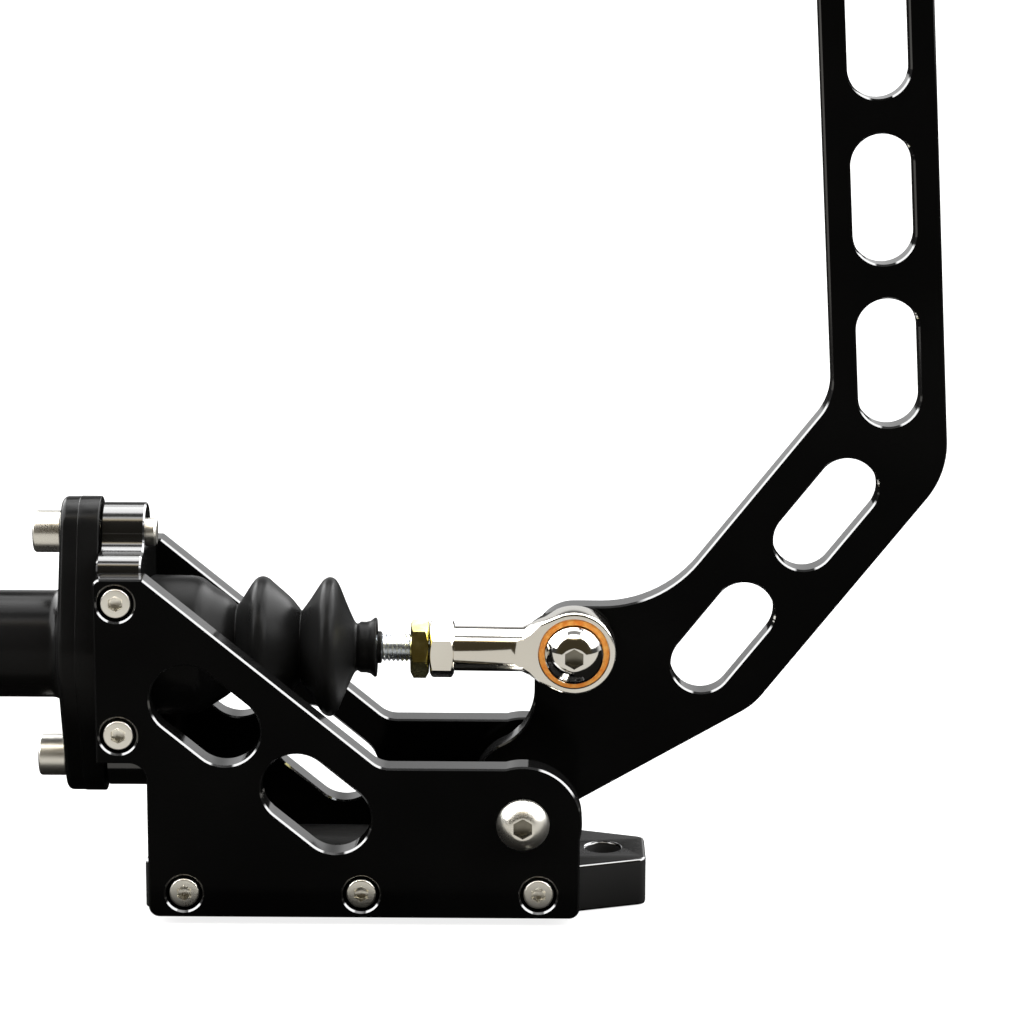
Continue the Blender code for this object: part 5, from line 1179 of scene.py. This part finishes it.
def rod_end_bearing():
    place = at(EYE_X, 0, EYE_Z) @ ALONG_Y
    ball_r, ball_half, liner_r, liner_half, lip_r = (v * MM for v in (8.9, 6.0, 10.0, 4.7, 8.45))
    profile = [(liner_r, liner_half), (liner_r, -liner_half), (lip_r, -liner_half)]
    profile += ball_side(ball_r + FIT, 4.0 * MM)[::-1] + [(lip_r, liner_half)]
    liner = moved(turned(profile, 96, True), place)
    piece("rod_end_liner", liner, (BRONZE,), "rod", "bronze", "rod_end_liner")
    profile = ball_side(ball_r, ball_half) + [(M8_WAY_R, -ball_half), (M8_WAY_R, ball_half)]
    ball = moved(turned(profile, 96, True), place)
    piece("rod_end_ball", ball, (NICKEL,), "lever", "nickel_plate", "rod_end_ball")


rod_end_housing()
rod_end_bearing()

# %% [markdown]
# The boot is a moulded rubber bellows. Its profile is a few points at the peaks and valleys, and
# a spline through them gives the soft moulded curve. It is spun with a wall of its own.

# %% Boot
BOOT_FROM_X, BOOT_TO_X, STROKE = BLOCK_BACK_X + FIT, -42.0 * MM, 20.3 * MM


def spline(p, q, r, s, t):
    """One coordinate of a Catmull-Rom curve, a share t of the way from q to r."""
    square, cube = (2 * p - 5 * q + 4 * r - s) * t**2, (3 * q - p - 3 * r + s) * t**3
    return 0.5 * (2 * q + (r - p) * t + square + cube)


def smooth_line(points, steps=6):
    """A smooth curve through the points."""
    padded = [points[0], *points, points[-1]]
    line = []
    for a, b, c, d in zip(padded, padded[1:], padded[2:], padded[3:]):
        for i in range(steps):
            line.append(tuple(spline(*four, i / steps) for four in zip(a, b, c, d)))
    return line + [points[-1]]


def boot():
    outer = [(8.2, -42.0), (8.5, -42.2), (8.5, -42.7), (7.6, -43.8), (7.3, -45.0), (7.3, -46.6),
             (6.9, -47.2)]
    folds = [(6.7, -47.6), (7.8, -48.6), (12.6, -50.8), (17.0, -52.6), (18.8, -53.6), (19.7, -54.6),
             (19.9, -55.7), (19.5, -56.8), (18.3, -58.0), (14.0, -60.8), (11.2, -62.8), (10.3, -63.6),
             (11.2, -64.4), (14.0, -66.8), (17.8, -71.2), (19.2, -72.8), (19.8, -74.0), (19.9, -75.0),
             (19.5, -76.2), (18.2, -77.5), (14.6, -79.8), (12.4, -81.2), (11.7, -81.9), (12.4, -82.7),
             (14.4, -84.8), (17.0, -88.8), (19.0, -91.6), (19.7, -93.8), (19.9, -97.5)]
    outside = [(r * MM, x * MM) for r, x in outer] + smooth_line([(r * MM, x * MM) for r, x in folds])
    outside += [(19.9 * MM, -105.6 * MM), (19.4 * MM, BOOT_FROM_X)]
    inner = [(5.2, -42.0), (5.2, -48.2), (17.0, -55.7), (8.7, -63.6), (17.0, -75.0), (10.1, -81.9),
             (17.6, -93.6), (18.4, -95.0), (14.3, -97.0), (14.3, -106.7)]
    inside = [(r * MM, x * MM) for r, x in reversed(inner)]
    sunk = (-ROD_SLOPE, 0, 1, ROD_Z + ROD_SLOPE * BALL_X)
    lean = Matrix(((1, 0, 0, 0), (0, 1, 0, 0), sunk, (0, 0, 0, 1)))
    mesh = moved(turned(outside + inside, 128, ring=True), lean @ ALONG_X)
    obj = piece("boot", mesh, (RUBBER,), "base", "boot_rubber", "boot", smooth=60.0)
    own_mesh(obj)


boot()

# %% [markdown]
# Inside the cylinder a spring pushes the piston back. It never shows, but it is part of the
# object, so a tree sweeps a round wire along a spiral.


# %% Return spring
def spring_tree():
    tree, start, end = make_tree(
        "coil",
        {"Turns": ("NodeSocketFloat", 6.0), "Radius": ("NodeSocketFloat", 0.0064),
         "Height": ("NodeSocketFloat", 0.04), "Wire": ("NodeSocketFloat", 0.0008),
         "Material": ("NodeSocketMaterial", None)},
    )
    spiral = tree.nodes.new("GeometryNodeCurveSpiral")
    spiral.inputs["Resolution"].default_value = 24
    link(tree, start.outputs["Turns"], spiral.inputs["Rotations"])
    link(tree, start.outputs["Radius"], spiral.inputs["Start Radius"])
    link(tree, start.outputs["Radius"], spiral.inputs["End Radius"])
    link(tree, start.outputs["Height"], spiral.inputs["Height"])
    ring = tree.nodes.new("GeometryNodeCurvePrimitiveCircle")
    ring.inputs["Resolution"].default_value = 12
    link(tree, start.outputs["Wire"], ring.inputs["Radius"])
    sweep = tree.nodes.new("GeometryNodeCurveToMesh")
    sweep.inputs["Fill Caps"].default_value = True
    link(tree, spiral.outputs[0], sweep.inputs["Curve"])
    link(tree, ring.outputs[0], sweep.inputs["Profile Curve"])
    close_tree(tree, sweep.outputs[0], start, end)
    return tree


def return_spring():
    low, high = (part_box("return_spring")[i].x for i in (0, 1))
    wire, stroke = 0.8 * MM, 20.2 * MM
    mesh = grown(bpy.data.meshes.new("host"), spring_tree(), Turns=6.0, Radius=6.4 * MM,
                 Height=high - low - 2.4 * wire, Wire=wire, Material=SPRING)
    moved(mesh, at(low + 1.2 * wire, 0, ROD_Z) @ ALONG_X)
    obj = piece("return_spring", mesh, (SPRING,), "base", "spring_steel", "return_spring")
    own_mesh(obj)


return_spring()

# %% [markdown]
# The grip stands on the lever's shoulders with the lever's tang inside it. Three knurled bands
# lie between plain rings. Each band is a rolled grid again, this time with two crossed waves.

# %% Grip
GRIP_R, GRIP_LEN, BAND_LEN, GROOVE_W = 15.5 * MM, 121.9 * MM, 33.0 * MM, 2.4 * MM
GRIP_FOOT = up_lever(0.0, SHOULDER_SHIFT)
GRIP_LEAN = Matrix.Rotation(math.radians(90 - UPPER_ANGLE), 4, "Y")
GRIP_FRAME = at(GRIP_FOOT[0], LEVER_MID_Y, GRIP_FOOT[1]) @ GRIP_LEAN @ at(z=FIT)
GRIP_SEAT_Y = 6.0 * MM - GRIP_R
BAND_TOPS = [GRIP_LEN - 12.0 * MM - i * (BAND_LEN + GROOVE_W) - GROOVE_W for i in range(3)]


def grip():
    dome_h, recess, collar_r = 7.0 * MM, 0.75 * MM, 17.0 * MM
    turns = [math.radians(a) for a in range(0, 91, 5)]
    profile = [(GRIP_R * math.sin(a), GRIP_LEN - dome_h + dome_h * math.cos(a)) for a in turns]
    for top in BAND_TOPS:
        low = top - BAND_LEN + GROOVE_W
        profile += [(GRIP_R, top + recess), (GRIP_R - recess, top)]
        profile += [(GRIP_R - recess, low), (GRIP_R, low - recess)]
    profile += [(GRIP_R, 7.0 * MM), (collar_r, 6.0 * MM), (collar_r, MM), (collar_r - MM, 0), (0, 0)]
    body = turned(profile, 96)
    tang = bpy.data.meshes.new("tang_slot")
    bm = bmesh.new()
    size = (TANG_W + 2 * FIT, LEVER_T + 2 * FIT, 2 * (TANG_LEN + FIT), 1)
    bmesh.ops.create_cube(bm, size=1.0, matrix=Matrix.Diagonal(size))
    bm.to_mesh(tang)
    bm.free()
    head_way, out, deep = 4.8 * MM, 9.0 * MM, -21.0 * MM
    profile = [(0, out), (head_way, out), (head_way, 0), (M5_WAY_R, 0), (M5_WAY_R, deep), (0, deep)]
    way = turned(profile, 48)
    ways = copies(way, [at(y=GRIP_SEAT_Y + FIT, z=h) @ TO_NEAR for h in GRIP_SCREW_AT])
    core = carved(body, ("DIFFERENCE", tang), ("DIFFERENCE", ways))
    bands = []
    length, pitch = BAND_LEN - GROOVE_W, math.tau * GRIP_R / 56
    for top in BAND_TOPS:
        band = grown(bpy.data.meshes.new("host"), KNURL, Length=length, Radius=GRIP_R, Depth=0.5 * MM,
                     Pitch=pitch, Steps_Along=int(length / (0.43 * MM)), Steps_Around=225,
                     Material=ANODISED)
        close_ends(band)
        moved(band, at(z=top - length / 2) @ ALONG_X)
        middle = bar(GRIP_R - 1.2 * MM, 2 * length, 96)
        bands.append(carved(band, ("DIFFERENCE", middle), ("DIFFERENCE", ways.copy())))
    mesh = moved(gathered([core, *bands]), GRIP_FRAME)
    piece("grip", mesh, (ANODISED,), "lever", "black_anodised", "grip", smooth=30.0)


grip()
screw_places = [tuple((GRIP_FRAME @ at(y=GRIP_SEAT_Y, z=h)).translation) for h in GRIP_SCREW_AT]
screw_row(
    "grip_screws",
    cap_screw(HEAD_R, HEAD_H, M5_R, 21.0 * MM, 4.0 * MM),
    screw_places,
    (math.pi / 2, 0.0, 0.0),
    "lever",
    "stainless",
    ["grip_screw_1", "grip_screw_2"],
)

# %% [markdown]
# The fluid inlet is a hose barb pushed into a rubber seal. The pieces that are shut inside the
# cylinder keep their solids and only take their finish.


# %% Inlet and inner pieces
def inlet():
    top, floor = INLET_TOP_Z, INLET_FLOOR_Z
    rim, stem, way, seal_r, hole = (v * MM for v in (8.0, 3.0, 1.6, 5.3, 3.3))
    seal = [(hole, top + 2.3 * MM), (rim - 0.5 * MM, top + 2.3 * MM), (rim, top + 1.8 * MM)]
    seal += [(rim, top + FIT), (seal_r, top + FIT), (seal_r, floor + FIT), (hole, floor + FIT)]
    seal_mesh = moved(turned(seal, 64, True), at(INLET_X))
    piece("inlet_seal", seal_mesh, (SEAL,), "base", "seal_rubber", "inlet_seal")
    collar = top + 2.6 * MM
    tip = collar + 18.5 * MM
    barb = [(way, tip), (stem - 0.4 * MM, tip)]
    for i in range(3):
        low = tip - (i + 1) * 4.5 * MM + MM
        barb += [(4.2 * MM, low + 0.3 * MM), (4.2 * MM, low), (stem, low)]
    barb += [(stem, collar + 2 * MM), (6.6 * MM, collar + 2 * MM), (7 * MM, collar + 1.6 * MM)]
    barb += [(7 * MM, collar), (stem, collar), (stem, floor + 2 * FIT), (way, floor + 2 * FIT)]
    barb_mesh = moved(turned(barb, 64, True), at(INLET_X))
    piece("inlet_barb", barb_mesh, (PLASTIC,), "base", "black_plastic", "inlet_barb")


inlet()
INNER = {"piston": ALLOY, "primary_cup": SEAL, "secondary_seal": SEAL, "piston_stop_washer": ZINC,
         "retaining_ring": SPRING}
for node, look in INNER.items():
    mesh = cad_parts[node].data
    mesh.materials.clear()
    mesh.materials.append(look)
print("inner pieces:", len(INNER))
